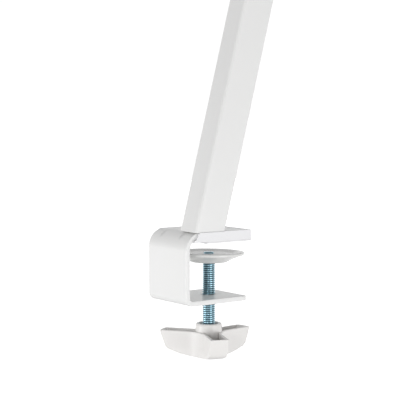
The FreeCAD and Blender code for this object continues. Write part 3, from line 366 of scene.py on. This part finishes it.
def arc(cx: float, cy: float, radius: float, start: float, end: float, count: int) -> np.ndarray:
    """Points on a circle, from one angle in degrees to another, ends included."""
    a = np.radians(np.linspace(start, end, count))
    return np.stack([cx + radius * np.cos(a), cy + radius * np.sin(a)], axis=-1)


def rounded_rectangle(half_x: float, half_y: float, radius: float, steps: int = 6,
                      across: int = 1) -> np.ndarray:
    """Outline of a rectangle with quarter circle corners, anticlockwise.

    Args:
        half_x: half its width.
        half_y: half its height.
        radius: of the corners.
        steps: points on each corner.
        across: spans that the two long sides are divided into.

    Returns:
        The points, (n, 2).
    """
    x, y = half_x - radius, half_y - radius
    share = np.linspace(0, 1, across + 1)[1:-1, None]
    corners = [arc(x, y, radius, 0, 90, steps), arc(-x, y, radius, 90, 180, steps),
               arc(-x, -y, radius, 180, 270, steps), arc(x, -y, radius, 270, 360, steps)]
    top = corners[0][-1] * (1 - share) + corners[1][0] * share
    low = corners[2][-1] * (1 - share) + corners[3][0] * share
    return np.concatenate([corners[0], top, corners[1], corners[2], low, corners[3]])


def lathe(profile: np.ndarray, steps: int = 96) -> Skin:
    """Turn a closed profile of (radius, height) points about the Z axis.

    A point lies at (r cos a, r sin a, z) for each angle a.

    Args:
        profile: the closed profile, (n, 2).
        steps: columns round the axis.

    Returns:
        The skin, its rows closed.
    """
    a = np.linspace(0, 2 * np.pi, steps, endpoint=False)
    r, z = profile[:, 0][:, None], profile[:, 1][:, None]
    points = np.stack([r * np.cos(a), r * np.sin(a), z + 0 * a], axis=-1)
    return Skin(points, closed_rows=True)


def round_corners(points: list[tuple[float, float, float]], steps: int = 5) -> np.ndarray:
    """Closed outline with each corner replaced by an arc.

    Each corner's arc touches both its sides, and its radius shrinks where a side is too short.

    Args:
        points: (x, y, radius) of each corner.
        steps: points on each arc.

    Returns:
        The outline, (n, 2).
    """
    corner = np.array([p[:2] for p in points], float)
    radius = np.array([p[2] for p in points], float)
    before, after = np.roll(corner, 1, axis=0) - corner, np.roll(corner, -1, axis=0) - corner
    len_b, len_a = np.linalg.norm(before, axis=1), np.linalg.norm(after, axis=1)
    u, w = before / len_b[:, None], after / len_a[:, None]
    half = np.arccos(np.clip((u * w).sum(1), -1, 1)) / 2
    reach = np.minimum(radius / np.maximum(np.tan(half), 1e-6), 0.48 * np.minimum(len_b, len_a))
    t = np.linspace(0, 1, steps)[None, :, None]
    start, end = (corner + u * reach[:, None])[:, None], (corner + w * reach[:, None])[:, None]
    middle = corner[:, None]
    weight = np.sin(half)[:, None, None]
    top = (1 - t) ** 2 * start + 2 * t * (1 - t) * weight * middle + t ** 2 * end
    return (top / ((1 - t) ** 2 + 2 * t * (1 - t) * weight + t ** 2)).reshape(-1, 2)


def cut_holes(piece: bpy.types.Object, holes: list[tuple[Vector, Vector, float]]) -> None:
    """Drill round holes through a piece.

    Args:
        piece: what is drilled; its mesh is replaced.
        holes: start, end and radius of each hole.
    """
    for start, end, radius in holes:
        axis = (end - start).normalized()
        side = axis.orthogonal().normalized()
        other = axis.cross(side)
        a = np.linspace(0, 2 * np.pi, 64, endpoint=False)[:, None]
        rim = radius * (np.cos(a) * np.array(side) + np.sin(a) * np.array(other))
        drill = piece_from("drill", [Skin(np.stack([rim + np.array(start), rim + np.array(end)]))])
        cutter = piece.modifiers.new("drill", "BOOLEAN")
        cutter.operation, cutter.object, cutter.solver = "DIFFERENCE", drill, "EXACT"
        settle(piece)
        bpy.data.objects.remove(drill)


def settle(piece: bpy.types.Object) -> None:
    """Replace a piece's mesh by what its modifiers make of it."""
    bpy.context.view_layer.update()
    graph = bpy.context.evaluated_depsgraph_get()
    mesh = bpy.data.meshes.new_from_object(piece.evaluated_get(graph))
    piece.modifiers.clear()
    piece.data = mesh


def place(piece: bpy.types.Object, body: str, paint: Paintshop, finish: Finish,
          *nodes: str) -> None:
    """Dress a finished piece, and let it ride and stand for its CAD nodes."""
    paint.dress(piece, finish)
    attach(piece, body)
    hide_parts(*nodes)
    LOG.info("%s: %d faces on %s", piece.name, len(piece.data.polygons), body)


def softened(node: str, name: str, width_mm: float, segments: int = 3, angle_deg: float = 32.0,
             flat_deg: float = 0.6) -> bpy.types.Object:
    """Copy of a CAD node with its edges rounded.

    The copy's points are merged and its flat faces joined, then a bevel rounds each sharp edge.

    Args:
        node: the CAD node.
        name: the new piece's name.
        width_mm: width of the rounding.
        segments: spans across it.
        angle_deg: edges past this angle are rounded.
        flat_deg: faces that meet within this angle are joined first.

    Returns:
        The new piece.
    """
    mesh = frame["nodes"][node].data.copy()
    mesh.name = name
    piece = bpy.data.objects.new(name, mesh)
    bpy.context.scene.collection.objects.link(piece)
    work = bmesh.new()
    work.from_mesh(mesh)
    bmesh.ops.remove_doubles(work, verts=work.verts, dist=1e-6)
    bmesh.ops.dissolve_limit(work, angle_limit=math.radians(flat_deg), verts=work.verts,
                             edges=work.edges)
    work.to_mesh(mesh)
    work.free()
    mesh.shade_smooth()
    bevel = piece.modifiers.new("edge", "BEVEL")
    bevel.width, bevel.segments = width_mm * MM, segments
    bevel.limit_method, bevel.angle_limit = "ANGLE", math.radians(angle_deg)
    bevel.use_clamp_overlap = True
    bevel.miter_outer = "MITER_ARC"
    even = piece.modifiers.new("even", "WEIGHTED_NORMAL")
    even.keep_sharp, even.weight = True, 100
    settle(piece)
    return piece


# ------------------------------------------------------------------ clamp
@dataclass
class Clamp:
    """Bent strap, jaw shoe and pad: the pieces that stay still on the desk."""

    paint: Paintshop
    body: str = "clamp"
    thick: float = 3.0 * MM
    top_bend: float = 10.5 * MM
    bottom_bend: float = 5.0 * MM
    edge: float = 0.45 * MM
    end_corner: float = 2.0 * MM
    dart_gap: float = 19.5 * MM
    dart_half: float = 1.5 * MM
    dart_reach: float = 4.2 * MM
    dart_deep: float = 0.6 * MM
    dart_shift: float = 2.0 * MM
    screw_hole: float = 4.05 * MM
    bush_hole: float = 4.5 * MM
    drill_over: float = 1.0 * MM
    end_zone: float = 6.0 * MM
    bend_gap: float = 0.4 * MM
    end_thin: float = 0.6

    def path(self) -> tuple[np.ndarray, np.ndarray, np.ndarray]:
        """Middle line of the strap in the XZ plane, from the lower jaw's end to the upper one's.

        It is straight, a quarter turn of the lower bend, straight, a quarter turn of the upper
        bend and straight again.

        Returns:
            Points (n, 2), unit normals that point out of the C (n, 2), and the length so far (n).
        """
        low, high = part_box("c_bracket")
        half = self.thick / 2
        web, floor, roof = low.x + half, low.z + half, high.z - half
        near, far = self.bottom_bend - half, self.top_bend - half
        close = np.array([0, 0.08, 0.25, 0.5, 0.9, 1.4, 2.0, 3.0]) * MM
        end_low, end_high = high.x - LOWER_JAW_SHORT, high.x
        zone, gap = self.end_zone, self.bend_gap
        points = [
            np.stack([end_low - close, floor + 0 * close], -1),
            np.linspace([end_low - zone, floor], [web + near + gap, floor], 10),
            arc(web + near, floor + near, near, 270, 180, 16),
            np.linspace([web, floor + near + gap], [web, roof - far - gap], 8),
            arc(web + far, roof - far, far, 180, 90, 44),
            np.linspace([web + far + gap, roof], [end_high - zone, roof], 10),
            np.stack([end_high - close[::-1], roof + 0 * close], -1),
        ]
        line = np.concatenate(points)
        step = np.gradient(line, axis=0)
        step /= np.linalg.norm(step, axis=1)[:, None]
        outwards = np.stack([step[:, 1], -step[:, 0]], -1)
        outwards *= np.sign((outwards * (line - line.mean(0))).sum(1).mean())
        length = np.concatenate([[0], np.cumsum(np.linalg.norm(np.diff(line, axis=0), axis=1))])
        return line, outwards, length

    def bracket(self) -> None:
        """Strap: a rounded rectangle carried along its middle line, with two pressed darts.

        Near each end the strap narrows as a circle does, which rounds its corners in plan. A dart
        moves both faces inwards by a raised cosine across the strap times one along the bend.
        """
        line, outwards, length = self.path()
        low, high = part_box("c_bracket")
        half_width = (high.y - low.y) / 2
        section = rounded_rectangle(half_width, self.thick / 2, self.edge, 5, 110)
        end = np.minimum(length, length[-1] - length)
        r = self.end_corner
        narrow = r - np.sqrt(np.maximum(r ** 2 - np.maximum(r - end, 0) ** 2, 0))
        y = section[None, :, 0] * (1 - narrow / half_width)[:, None]
        thin = 1 - np.maximum(self.edge - end, 0) / self.edge * self.end_thin
        out = section[None, :, 1] * thin[:, None]
        middle = length[self.bend_row(line)] + self.dart_shift
        along = np.clip(np.abs(length - middle) / self.dart_reach, 0, 1)[:, None]
        for side in (-1, 1):
            across = np.clip(np.abs(y - side * self.dart_gap / 2) / self.dart_half, 0, 1)
            dent = (1 + np.cos(np.pi * along)) * (1 + np.cos(np.pi * across)) / 4
            out = out - self.dart_deep * dent
        x = line[:, 0][:, None] + outwards[:, 0][:, None] * out
        z = line[:, 1][:, None] + outwards[:, 1][:, None] * out
        piece = piece_from("clamp_strap", [Skin(np.stack([x, y, z], -1))], 50)
        bush_low, bush_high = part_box("swivel_bush")
        bush = (bush_low + bush_high) / 2
        over, through_all = self.drill_over, 2 * self.thick
        cut_holes(piece, [
            (Vector((0, 0, low.z - over)), Vector((0, 0, low.z + through_all - over)),
             self.screw_hole),
            (Vector((bush.x, bush.y, high.z - through_all)),
             Vector((bush.x, bush.y, high.z + over)), self.bush_hole),
        ])
        place(piece, self.body, self.paint, POWDER, "c_bracket")

    def bend_row(self, line: np.ndarray) -> int:
        """Row of the middle line at the middle of the upper bend."""
        corner = np.array([line[:, 0].min(), line[:, 1].max()])
        return int(np.linalg.norm(line - corner, axis=1).argmin())

    def build(self) -> None:
        """Make the strap and round the edges of the moulded pieces."""
        self.bracket()
        for node, name, width_mm, finish in (("upper_jaw_shoe", "jaw_shoe", 0.45, SHOE),
                                             ("jaw_pad", "jaw_lining", 0.2, RUBBER)):
            place(softened(node, name, width_mm), self.body, self.paint, finish, node)


# ------------------------------------------------------------------ screw and disc
@dataclass
class ClampScrew:
    """Screw with its thread, pressure disc and lobed knob."""

    paint: Paintshop
    pitch: float = 1.25 * MM
    crest: float = 3.98 * MM
    root: float = 3.23 * MM
    spigot: float = 3.0 * MM
    rows_per_turn: int = 18
    columns: int = 56
    disc_lean: tuple[float, float] = (-0.018, -0.008)
    lobe_half: float = 5.5 * MM
    waist: float = 18.0 * MM
    tip: float = 1.6 * MM
    wall: float = 1.7 * MM
    rim: float = 0.25 * MM
    floor: float = 2.2 * MM
    phase_deg: float = 5.9
    lobe_top: float = -56.3 * MM
    hub: float = 8.1 * MM
    recess: float = 5.7 * MM
    hub_bore: float = 4.05 * MM
    pocket_deep: float = 3.0 * MM
    hub_foot: float = 1.0 * MM
    rake: tuple[float, float] = (3.4 * MM, 0.56)
    heel: tuple[float, float] = (4.8 * MM, 0.70)
    keel: tuple[float, float] = (7.8 * MM, 0.79)
    belly: tuple[float, float] = (0.42, 0.025)
    root_share: float = 0.1
    flank_rise: float = 3.85
    chamfer_slope: float = 1.1
    rod_foot: float = 8.0 * MM
    disc_dish: float = 1.0 * MM
    disc_neck: tuple[float, float] = (15.5 * MM, -11.3 * MM)
    disc_foot: float = 11.3 * MM

    def thread(self) -> None:
        """Threaded rod: the radius follows the place on a helix.

        At angle a and height z the phase is z / pitch - a / 2 pi. The radius is flat at the crest
        and the root and straight on the flanks between them, and fades to the root at the chamfer.
        """
        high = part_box("clamp_screw")[1]
        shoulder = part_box("pressure_disc")[0].z - 0.1 * MM
        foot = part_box("clamp_knob")[0].z + self.rod_foot
        rows = int((shoulder - foot) / self.pitch * self.rows_per_turn)
        z = np.linspace(foot, shoulder, rows)[:, None]
        a = np.linspace(0, 2 * np.pi, self.columns, endpoint=False)[None, :]
        phase = np.mod(z / self.pitch - a / (2 * np.pi), 1.0)
        flank = np.clip((np.abs(phase - 0.5) - self.root_share) * self.flank_rise, 0, 1)
        radius = self.root + (self.crest - self.root) * flank
        chamfer = np.maximum(shoulder - z, 0) * self.chamfer_slope
        radius = np.minimum(radius, self.root - 0.2 * MM + chamfer)
        eased = 0.3 * MM
        top_z = np.array([shoulder, high.z - eased, high.z])
        top_r = np.array([self.spigot, self.spigot, self.spigot - eased])
        radius = np.concatenate([radius, top_r[:, None] + 0 * a])
        z = np.concatenate([z, top_z[:, None]])
        points = np.stack([radius * np.cos(a), radius * np.sin(a), z + 0 * a], -1)
        piece = piece_from("threaded_rod", [Skin(points)], 60)
        place(piece, "screw", self.paint, THREAD, "clamp_screw")

    def disc(self) -> None:
        """Pressure disc: a turned profile with a dished top and a hollow foot, resting askew.

        It sits loose on the spigot, so it leans a little: towards +X +Y the rim is lower.
        """
        low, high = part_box("pressure_disc")
        rim, top, foot = high.x, high.z, low.z
        bore, dish = self.spigot + 0.2 * MM, top - self.disc_dish
        profile = round_corners([
            (bore, dish, 0.2 * MM), (rim - 6.4 * MM, dish, 2.5 * MM),
            (rim - 3.4 * MM, top, 1.5 * MM), (rim, top, 0.6 * MM), (rim, top - 1.6 * MM, 0.5 * MM),
            (*self.disc_neck, 1.5 * MM), (self.disc_foot, foot, 0.4 * MM), (bore, foot, 0.2 * MM),
        ], 6)
        skin = lathe(profile)
        lean = skin.points[..., 0] * self.disc_lean[0] + skin.points[..., 1] * self.disc_lean[1]
        skin.points[..., 2] += lean
        place(piece_from("pressure_plate", [skin], 40), "pressure_pad", self.paint, DISC,
              "pressure_disc")

    def knob_outline(self, inset: float, count: int) -> tuple[np.ndarray, np.ndarray]:
        """Outline of the knob in polar form.

        One sixth runs along a lobe's end, round its corner, down its side and along the hollow
        between two lobes; the rest is that sixth mirrored and turned.

        Args:
            inset: how far the outline is drawn in.
            count: columns in each sixth.

        Returns:
            Angles and radii, both (6 * count).
        """
        half, length = self.lobe_half - inset, self.knob_reach() - inset
        corner = max(self.tip - inset, 0.3 * MM)
        hollow = self.waist + inset
        centre = (half + hollow) / math.sin(math.pi / 3)
        touch = centre / 2
        round_steps, side_steps = 8, 14
        sixth = np.concatenate([
            np.linspace([length, 0], [length, half - corner], 6)[:-1],
            arc(length - corner, half - corner, corner, 0, 90, round_steps),
            np.linspace([length - corner, half], [touch, half], side_steps)[1:-1],
            arc(touch, centre * math.sin(math.pi / 3), hollow, 270, 240, 16),
        ])
        angle = np.arctan2(sixth[:, 1], sixth[:, 0])
        radius = np.hypot(sixth[:, 0], sixth[:, 1])
        share = np.linspace(0, math.pi / 3, count, endpoint=False)
        corner_angles = angle[5:14]
        share = np.sort(np.concatenate([share, corner_angles, [0.5 * self.tip / length]]))
        reach = np.interp(share, angle, radius)
        both = np.concatenate([share, (THIRD - share[1:])[::-1]])
        radii = np.concatenate([reach, reach[1:][::-1]])
        all_angles = np.concatenate([both + i * THIRD for i in range(3)])
        return all_angles, np.tile(radii, 3)

    def knob_reach(self) -> float:
        """Radius of the lobes' tips."""
        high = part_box("clamp_knob")[1]
        a = math.radians(self.phase_deg)
        return (high.x - self.lobe_half * math.sin(a)) / math.cos(a) * 0.999

    def bowl(self, inset: float, rise: float, count: int) -> np.ndarray:
        """Side profile that rakes the lobes' tips and rounds their undersides.

        rake, heel and keel are points on it: how far in from the tip, and the share of the lobe's
        depth. belly is one too: shares of the reach and of the depth, from the axis and the bottom.

        Args:
            inset: how far it is drawn in.
            rise: how far its underside is lifted.
            count: points along it.

        Returns:
            (radius, height) points from the rim to the axis.
        """
        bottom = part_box("knob_cap")[0].z + rise
        reach, deep = self.knob_reach(), self.lobe_top - bottom + rise

        def height(share: float) -> float:
            """Height at a share of the lobe's depth below its top."""
            return self.lobe_top - share * deep + rise

        tip, low, mid, end = [np.array([reach - back - inset, height(share)]) for back, share in
                              ((0, 0), self.rake, self.heel, self.keel)]
        tip[1] = self.lobe_top
        belly = np.array([reach * self.belly[0], bottom + self.belly[1] * deep])
        parts = [np.linspace(tip, low, 12)[:-1], through(low, mid, end, 9)[:-1],
                 through(end, belly, np.array([0.0, bottom]), 22)]
        line = np.concatenate(parts)
        line[:, 1] = np.maximum(line[:, 1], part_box("clamp_knob")[0].z + rise)
        length = np.concatenate([[0], np.cumsum(np.linalg.norm(np.diff(line, axis=0), axis=1))])
        share = np.linspace(0, length[-1], count)
        return np.stack([np.interp(share, length, line[:, i]) for i in range(2)], -1)

    def knob(self) -> None:
        """Hollow knob: the outline carried down the bowl's profile, outside and inside.

        At each height a point lies on its direction at the smaller of the outline's radius and the
        bowl's, blended softly, so the underside runs into the sides without a hard edge.
        """
        angle, reach = self.knob_outline(0.0, 34)
        inner = np.interp(angle, *self.knob_outline(self.wall, 60))
        turn = angle + math.radians(self.phase_deg)
        outside = self.wrap(reach, turn, self.bowl(0.0, 0.0, 130), 1.8 * MM)
        inside = self.wrap(inner, turn, self.bowl(self.wall, self.floor, 40), 0.35 * MM)[::-1]
        shoulder, least_step = self.lobe_top - self.rim, 0.05 * MM
        inside = inside[inside[:, 0, 2] < shoulder - least_step]
        outside = outside[outside[:, 0, 2] < shoulder - least_step]
        for row, ring in ((0, outside), (-1, inside)):
            ring[row, :, 2] = shoulder
        middle = (outside[0] + inside[-1]) / 2
        lift = np.array([0, 0, self.rim])
        rim = [middle + (inside[-1] - middle) * math.cos(t) + lift * math.sin(t)
               for t in np.linspace(0, np.pi, 11)[1:-1]]
        body = Skin(np.concatenate([inside, np.array(rim), outside]))
        low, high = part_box("clamp_knob")
        top, seat, foot = high.z, high.z - self.pocket_deep, low.z + self.hub_foot
        hub = round_corners([
            (self.hub_bore, seat, 0.1 * MM), (self.recess, seat, 0.4 * MM),
            (self.recess, top, 0.7 * MM), (self.hub, top, 1.5 * MM), (self.hub, foot, 0.1 * MM),
            (self.hub_bore, foot, 0.1 * MM),
        ], 6)
        piece = piece_from("clamp_handle", [body, lathe(hub, 72)], 60)
        place(piece, "screw", self.paint, WARM, "clamp_knob", "knob_cap")

    def wrap(self, reach: np.ndarray, turn: np.ndarray, profile: np.ndarray,
             blend: float) -> np.ndarray:
        """Grid of a prism drawn in by a bowl.

        Args:
            reach: the outline's radius at each column.
            turn: the angle of each column.
            profile: the bowl's (radius, height) rows.
            blend: how softly the two meet.

        Returns:
            The points, (rows, columns, 3).
        """
        bowl = profile[:, 0][:, None]
        gap = np.maximum(blend - np.abs(reach[None] - bowl), 0) / blend
        radius = np.minimum(reach[None], bowl) - gap ** 2 * blend / 4
        radius = np.maximum(radius, 0)
        height = np.broadcast_to(profile[:, 1][:, None], radius.shape)
        return np.stack([radius * np.cos(turn), radius * np.sin(turn), height], -1)

    def build(self) -> None:
        """Make the rod, the disc and the knob."""
        self.thread()
        self.disc()
        self.knob()


def through(first: np.ndarray, middle: np.ndarray, last: np.ndarray, count: int) -> np.ndarray:
    """Points on the circle through three points, from the first to the last.

    Args:
        first: where the arc starts.
        middle: a point it passes.
        last: where it ends.
        count: points on it, ends included.

    Returns:
        The points, (count, 2).
    """
    rows = 2 * np.stack([middle - first, last - first])
    sizes = np.array([(point ** 2).sum() - (first ** 2).sum() for point in (middle, last)])
    centre = np.linalg.solve(rows, sizes)
    angle = np.unwrap([math.atan2(*(p - centre)[::-1]) for p in (first, middle, last)])
    around = np.linspace(angle[0], angle[2], count)
    radius = np.linalg.norm(first - centre)
    return centre + radius * np.stack([np.cos(around), np.sin(around)], -1)


# ------------------------------------------------------------------ arms
@dataclass
class Arm:
    """Rectangular tube between two joints, with its own frame along its length."""

    paint: Paintshop
    node: str
    name: str
    body: str
    angle_deg: float
    origin: Vector
    start: float
    end: float
    level_foot: bool = False
    half_x: float = 10.75 * MM
    half_y: float = 7.95 * MM
    corner: float = 1.6 * MM
    inner_corner: float = 0.4 * MM
    wall: float = 1.5 * MM
    edge: float = 0.25 * MM
    spans: int = 12
    first_ring: float = 20 * MM
    last_ring: float = 10 * MM
    foot_tilt: float = 0.2 * MM
    foot_edge: float = 0.06 * MM
    foot_drop: float = 0.27 * MM

    def section(self, inset: float, corner: float, z: float, foot: bool = False) -> np.ndarray:
        """One ring of the tube, in world coordinates.

        Args:
            inset: how far the ring is drawn in from the tube's outside.
            corner: its corner radius.
            z: its place along the arm.
            foot: whether it is cut level in the world.

        Returns:
            The points, (n, 3).
        """
        ring = rounded_rectangle(self.half_x - inset, self.half_y - inset, corner, 9)
        turn = math.radians(self.angle_deg)
        x, y = ring[:, 0], ring[:, 1]
        lift = z + 0 * x
        if foot:
            lift = z + (x * math.tan(turn) + self.foot_tilt * y / self.half_y - self.foot_drop)
        world_x = self.origin.x + x * math.cos(turn) + lift * math.sin(turn)
        world_z = self.origin.z - x * math.sin(turn) + lift * math.cos(turn)
        return np.stack([world_x, self.origin.y + y, world_z], -1)

    def build(self) -> None:
        """Make the tube: its outer and inner walls as one closed skin, with eased ends."""
        foot, edge = self.level_foot, self.edge
        eased = self.foot_edge if foot else edge
        rows = [self.section(eased, self.corner - eased, self.start, foot),
                self.section(0, self.corner, self.start + eased, foot)]
        span = self.end - self.start - self.first_ring - self.last_ring
        for share in np.linspace(0, 1, self.spans):
            z = self.start + self.first_ring + span * share
            rows.append(self.section(0, self.corner, z))
        rows.append(self.section(0, self.corner, self.end - edge))
        rows.append(self.section(edge, self.corner - edge, self.end))
        rows.append(self.section(self.wall, self.inner_corner, self.end))
        rows.append(self.section(self.wall, self.inner_corner, self.start, foot))
        tube = piece_from(self.name, [Skin(np.stack(rows), closed_rows=True)], 40)
        place(tube, self.body, self.paint, POWDER, self.node)


# ------------------------------------------------------------------ small parts
@dataclass(frozen=True)
class Edge:
    """A CAD node that is shown as a copy with rounded edges."""

    node: str
    name: str
    finish: Finish
    width_mm: float


SOFT_EDGES = (
    Edge("lower_arm_cap", "lower_arm_end", WARM, 0.6),
    Edge("upper_arm_cap", "upper_arm_end", WARM, 0.6),
    Edge("wrist_block", "wrist_tongue", WARM, 0.5), Edge("tilt_yoke", "tilt_fork", POWDER, 0.5),
    Edge("elbow_knob", "elbow_handwheel", WARM, 0.8),
    Edge("tilt_knob", "tilt_handwheel", WARM, 0.7),
    Edge("elbow_bolt", "elbow_axle", ZINC, 0.25), Edge("tilt_bolt", "tilt_axle", ZINC, 0.3),
    Edge("inlet_nut", "inlet_ring_nut", ZINC, 0.3), Edge("power_inlet", "inlet_socket", BLACK, 0.2),
    Edge("head_housing", "head_shell", ALLOY, 0.25),
    Edge("head_end_cap_near", "head_end_near", WARM, 0.6),
    Edge("head_end_cap_far", "head_end_far", WARM, 0.6),
    Edge("swivel_bearing", "swivel_collar", NYLON, 0.2),
    Edge("power_button", "power_cap", KEY, 0.25), Edge("dimmer_button", "dimmer_cap", KEY, 0.25),
)


def small_parts(paint: Paintshop) -> None:
    """Dress every CAD node, and show some of them as copies with rounded edges."""
    slots = {row["node"]: row["material_slot"] for row in frame["record"]["subparts"]}
    for node, slot in slots.items():
        paint.dress_node(node, slot)
    bodies = frame["record"]["behaviour"]["bodies"]
    home = {node: body for body, nodes in bodies.items() for node in nodes}
    for part in SOFT_EDGES:
        piece = softened(part.node, part.name, part.width_mm)
        place(piece, home[part.node], paint, part.finish, part.node)


# ------------------------------------------------------------------ stage
@dataclass(frozen=True)
class Glow:
    """Soft bright region of the surroundings.

    axis is given in the camera's right and level forward directions and upwards. The region's
    strength grows to share as the cosine from the axis goes from start to end.
    """

    axis: tuple[float, float, float]
    start: float
    end: float
    share: float


@dataclass(frozen=True)
class SoftLight:
    """Square light that faces the clamp.

    at is its place in the camera's right and level forward directions and upwards, in metres, size
    its edge and power its watts.
    """

    name: str
    at: tuple[float, float, float]
    size: float
    power: float


@dataclass
class Studio:
    """Camera, pale floor and soft lights."""

    lens_mm: float = 98.5714
    sensor_mm: float = 36.0
    azimuth_deg: float = 36.87
    pitch_deg: float = 4.41
    distance: float = 0.6975
    target_z: float = 0.01784
    side_step: float = 0.0008
    floor_z: float = -0.72
    floor_half: float = 12.0
    glows: tuple[Glow, ...] = (
        Glow((0, 1, 0), 0.2, 0.75, 0.59),
        Glow((0, 0, 1), 0.35, 0.1, 0.45),
        Glow((0, 0, 1), 0.1, 0.6, 0.37),
        Glow((0, -1, 0), 0.5, 0.95, 0.25),
    )
    lights: tuple[SoftLight, ...] = (
        SoftLight("left_low", (-0.36, -0.10, -0.06), 0.14, 0.35),
        SoftLight("key", (-0.28, -0.96, 0.12), 0.10, 1.2),
        SoftLight("right_low", (0.35, -0.35, -0.10), 0.25, 0.66),
    )
    below: tuple[float, float, float, float] = (0.9, 2.4, 0.20, 1.0)

    def from_camera(self, right: float, forward: float, up: float) -> Vector:
        """World vector of a step in the camera's right and level forward directions and upwards."""
        a = math.radians(self.azimuth_deg)
        return Vector((math.cos(a) * right + math.sin(a) * forward,
                       math.cos(a) * forward - math.sin(a) * right, up))

    def camera(self) -> None:
        """Camera that looks a little downwards at the clamp."""
        pitch = math.radians(self.pitch_deg)
        right = self.from_camera(1, 0, 0)
        forward = self.from_camera(0, math.cos(pitch), -math.sin(pitch))
        data = bpy.data.cameras.new("camera")
        data.lens = self.lens_mm
        data.sensor_width = self.sensor_mm
        data.clip_start = 0.01
        made = bpy.data.objects.new("camera", data)
        bpy.context.scene.collection.objects.link(made)
        target = Vector((0, 0, self.target_z)) + right * self.side_step
        made.location = target - forward * self.distance
        made.rotation_euler = forward.to_track_quat("-Z", "Y").to_euler()
        bpy.context.scene.camera = made

    def floor(self) -> None:
        """Wide pale floor, a desk's height below the clamp, that glows more with the distance."""
        half = self.floor_half
        corners = [(-half, -half, self.floor_z), (half, -half, self.floor_z),
                   (half, half, self.floor_z), (-half, half, self.floor_z)]
        mesh = bpy.data.meshes.new("floor")
        mesh.from_pydata(corners, [], [(0, 1, 2, 3)])
        made = bpy.data.objects.new("floor", mesh)
        bpy.context.scene.collection.objects.link(made)
        paint = bpy.data.materials.new("floor_paint")
        paint.use_nodes = True
        shader = paint.node_tree.nodes["Principled BSDF"]
        shader.inputs["Base Color"].default_value = (0.7, 0.7, 0.7, 1)
        shader.inputs["Roughness"].default_value = 0.9
        shader.inputs["Emission Color"].default_value = (1, 1, 1, 1)
        tree = paint.node_tree
        reach = tree.nodes.new("ShaderNodeVectorMath")
        reach.operation = "LENGTH"
        spread = tree.nodes.new("ShaderNodeMapRange")
        spread.interpolation_type = "SMOOTHSTEP"
        for name, value in zip(("From Min", "From Max", "To Min", "To Max"), self.below):
            spread.inputs[name].default_value = value
        where = tree.nodes.new("ShaderNodeTexCoord").outputs["Object"]
        tree.links.new(where, reach.inputs[0])
        tree.links.new(reach.outputs["Value"], spread.inputs["Value"])
        tree.links.new(spread.outputs["Result"], shader.inputs["Emission Strength"])
        mesh.materials.append(paint)

    def lamp(self, light: SoftLight) -> None:
        """Hang one soft light and turn it to the clamp."""
        data = bpy.data.lights.new(light.name, "AREA")
        data.shape, data.size, data.energy = "SQUARE", light.size, light.power
        made = bpy.data.objects.new(light.name, data)
        bpy.context.scene.collection.objects.link(made)
        made.visible_camera = False
        made.location = self.from_camera(*light.at)
        made.rotation_euler = (-made.location).to_track_quat("-Z", "Y").to_euler()

    def sky(self) -> None:
        """Surroundings: a sum of soft glows, each bright round an axis.

        A glow's share is scaled by a smooth step of the dot product of the direction with its axis.
        """
        world = bpy.data.worlds.new("surroundings")
        bpy.context.scene.world = world
        world.use_nodes = True
        tree = world.node_tree
        shade = tree.nodes["Background"]
        where = tree.nodes.new("ShaderNodeTexCoord").outputs["Generated"]
        total = None
        for glow in self.glows:
            along = tree.nodes.new("ShaderNodeVectorMath")
            along.operation = "DOT_PRODUCT"
            along.inputs[1].default_value = self.from_camera(*glow.axis).normalized()
            spread = tree.nodes.new("ShaderNodeMapRange")
            spread.interpolation_type = "SMOOTHSTEP"
            for name, value in (("From Min", glow.start), ("From Max", glow.end),
                                ("To Max", glow.share)):
                spread.inputs[name].default_value = value
            tree.links.new(where, along.inputs[0])
            tree.links.new(along.outputs["Value"], spread.inputs["Value"])
            added = tree.nodes.new("ShaderNodeMath")
            added.inputs[1].default_value = 0.0
            tree.links.new(spread.outputs["Result"], added.inputs[0])
            if total is not None:
                tree.links.new(total, added.inputs[1])
            total = added.outputs["Value"]
        tree.links.new(total, shade.inputs["Strength"])
        shade.inputs["Color"].default_value = (1, 1, 1, 1)

    def build(self) -> None:
        """Set the whole stage."""
        self.camera()
        self.floor()
        self.sky()
        for light in self.lights:
            self.lamp(light)
        bpy.context.scene.view_settings.view_transform = "Standard"


def main() -> None:
    """Build the lamp's pieces in order, then the stage."""
    logging.basicConfig(level=logging.INFO, format="%(name)s %(message)s")
    paint = Paintshop()
    small_parts(paint)
    Clamp(paint).build()
    ClampScrew(paint).build()
    joints = {joint["name"]: joint for joint in frame["joints"]}
    swivel, elbow = Vector(joints["base_swivel"]["pos_m"]), Vector(joints["elbow"]["pos_m"])
    foot = Vector((swivel.x, swivel.y, swivel.z + ARM_FOOT))
    lean = math.degrees(math.atan2(elbow.x - foot.x, elbow.z - foot.z))
    length = math.hypot(elbow.x - foot.x, elbow.z - foot.z)
    Arm(paint, "lower_arm_tube", "lower_arm", "lower_arm", lean, foot, 0.0,
        length + ARM_PAST_ELBOW, level_foot=True).build()
    tip = Vector(joints["head_tilt"]["pos_m"])
    reach = (tip - elbow).length
    Arm(paint, "upper_arm_tube", "upper_arm", "upper_arm", 90.0, elbow, -ARM_PAST_ELBOW,
        reach - ARM_BEFORE_TILT).build()
    Studio().build()


if __name__ == "__main__":
    main()
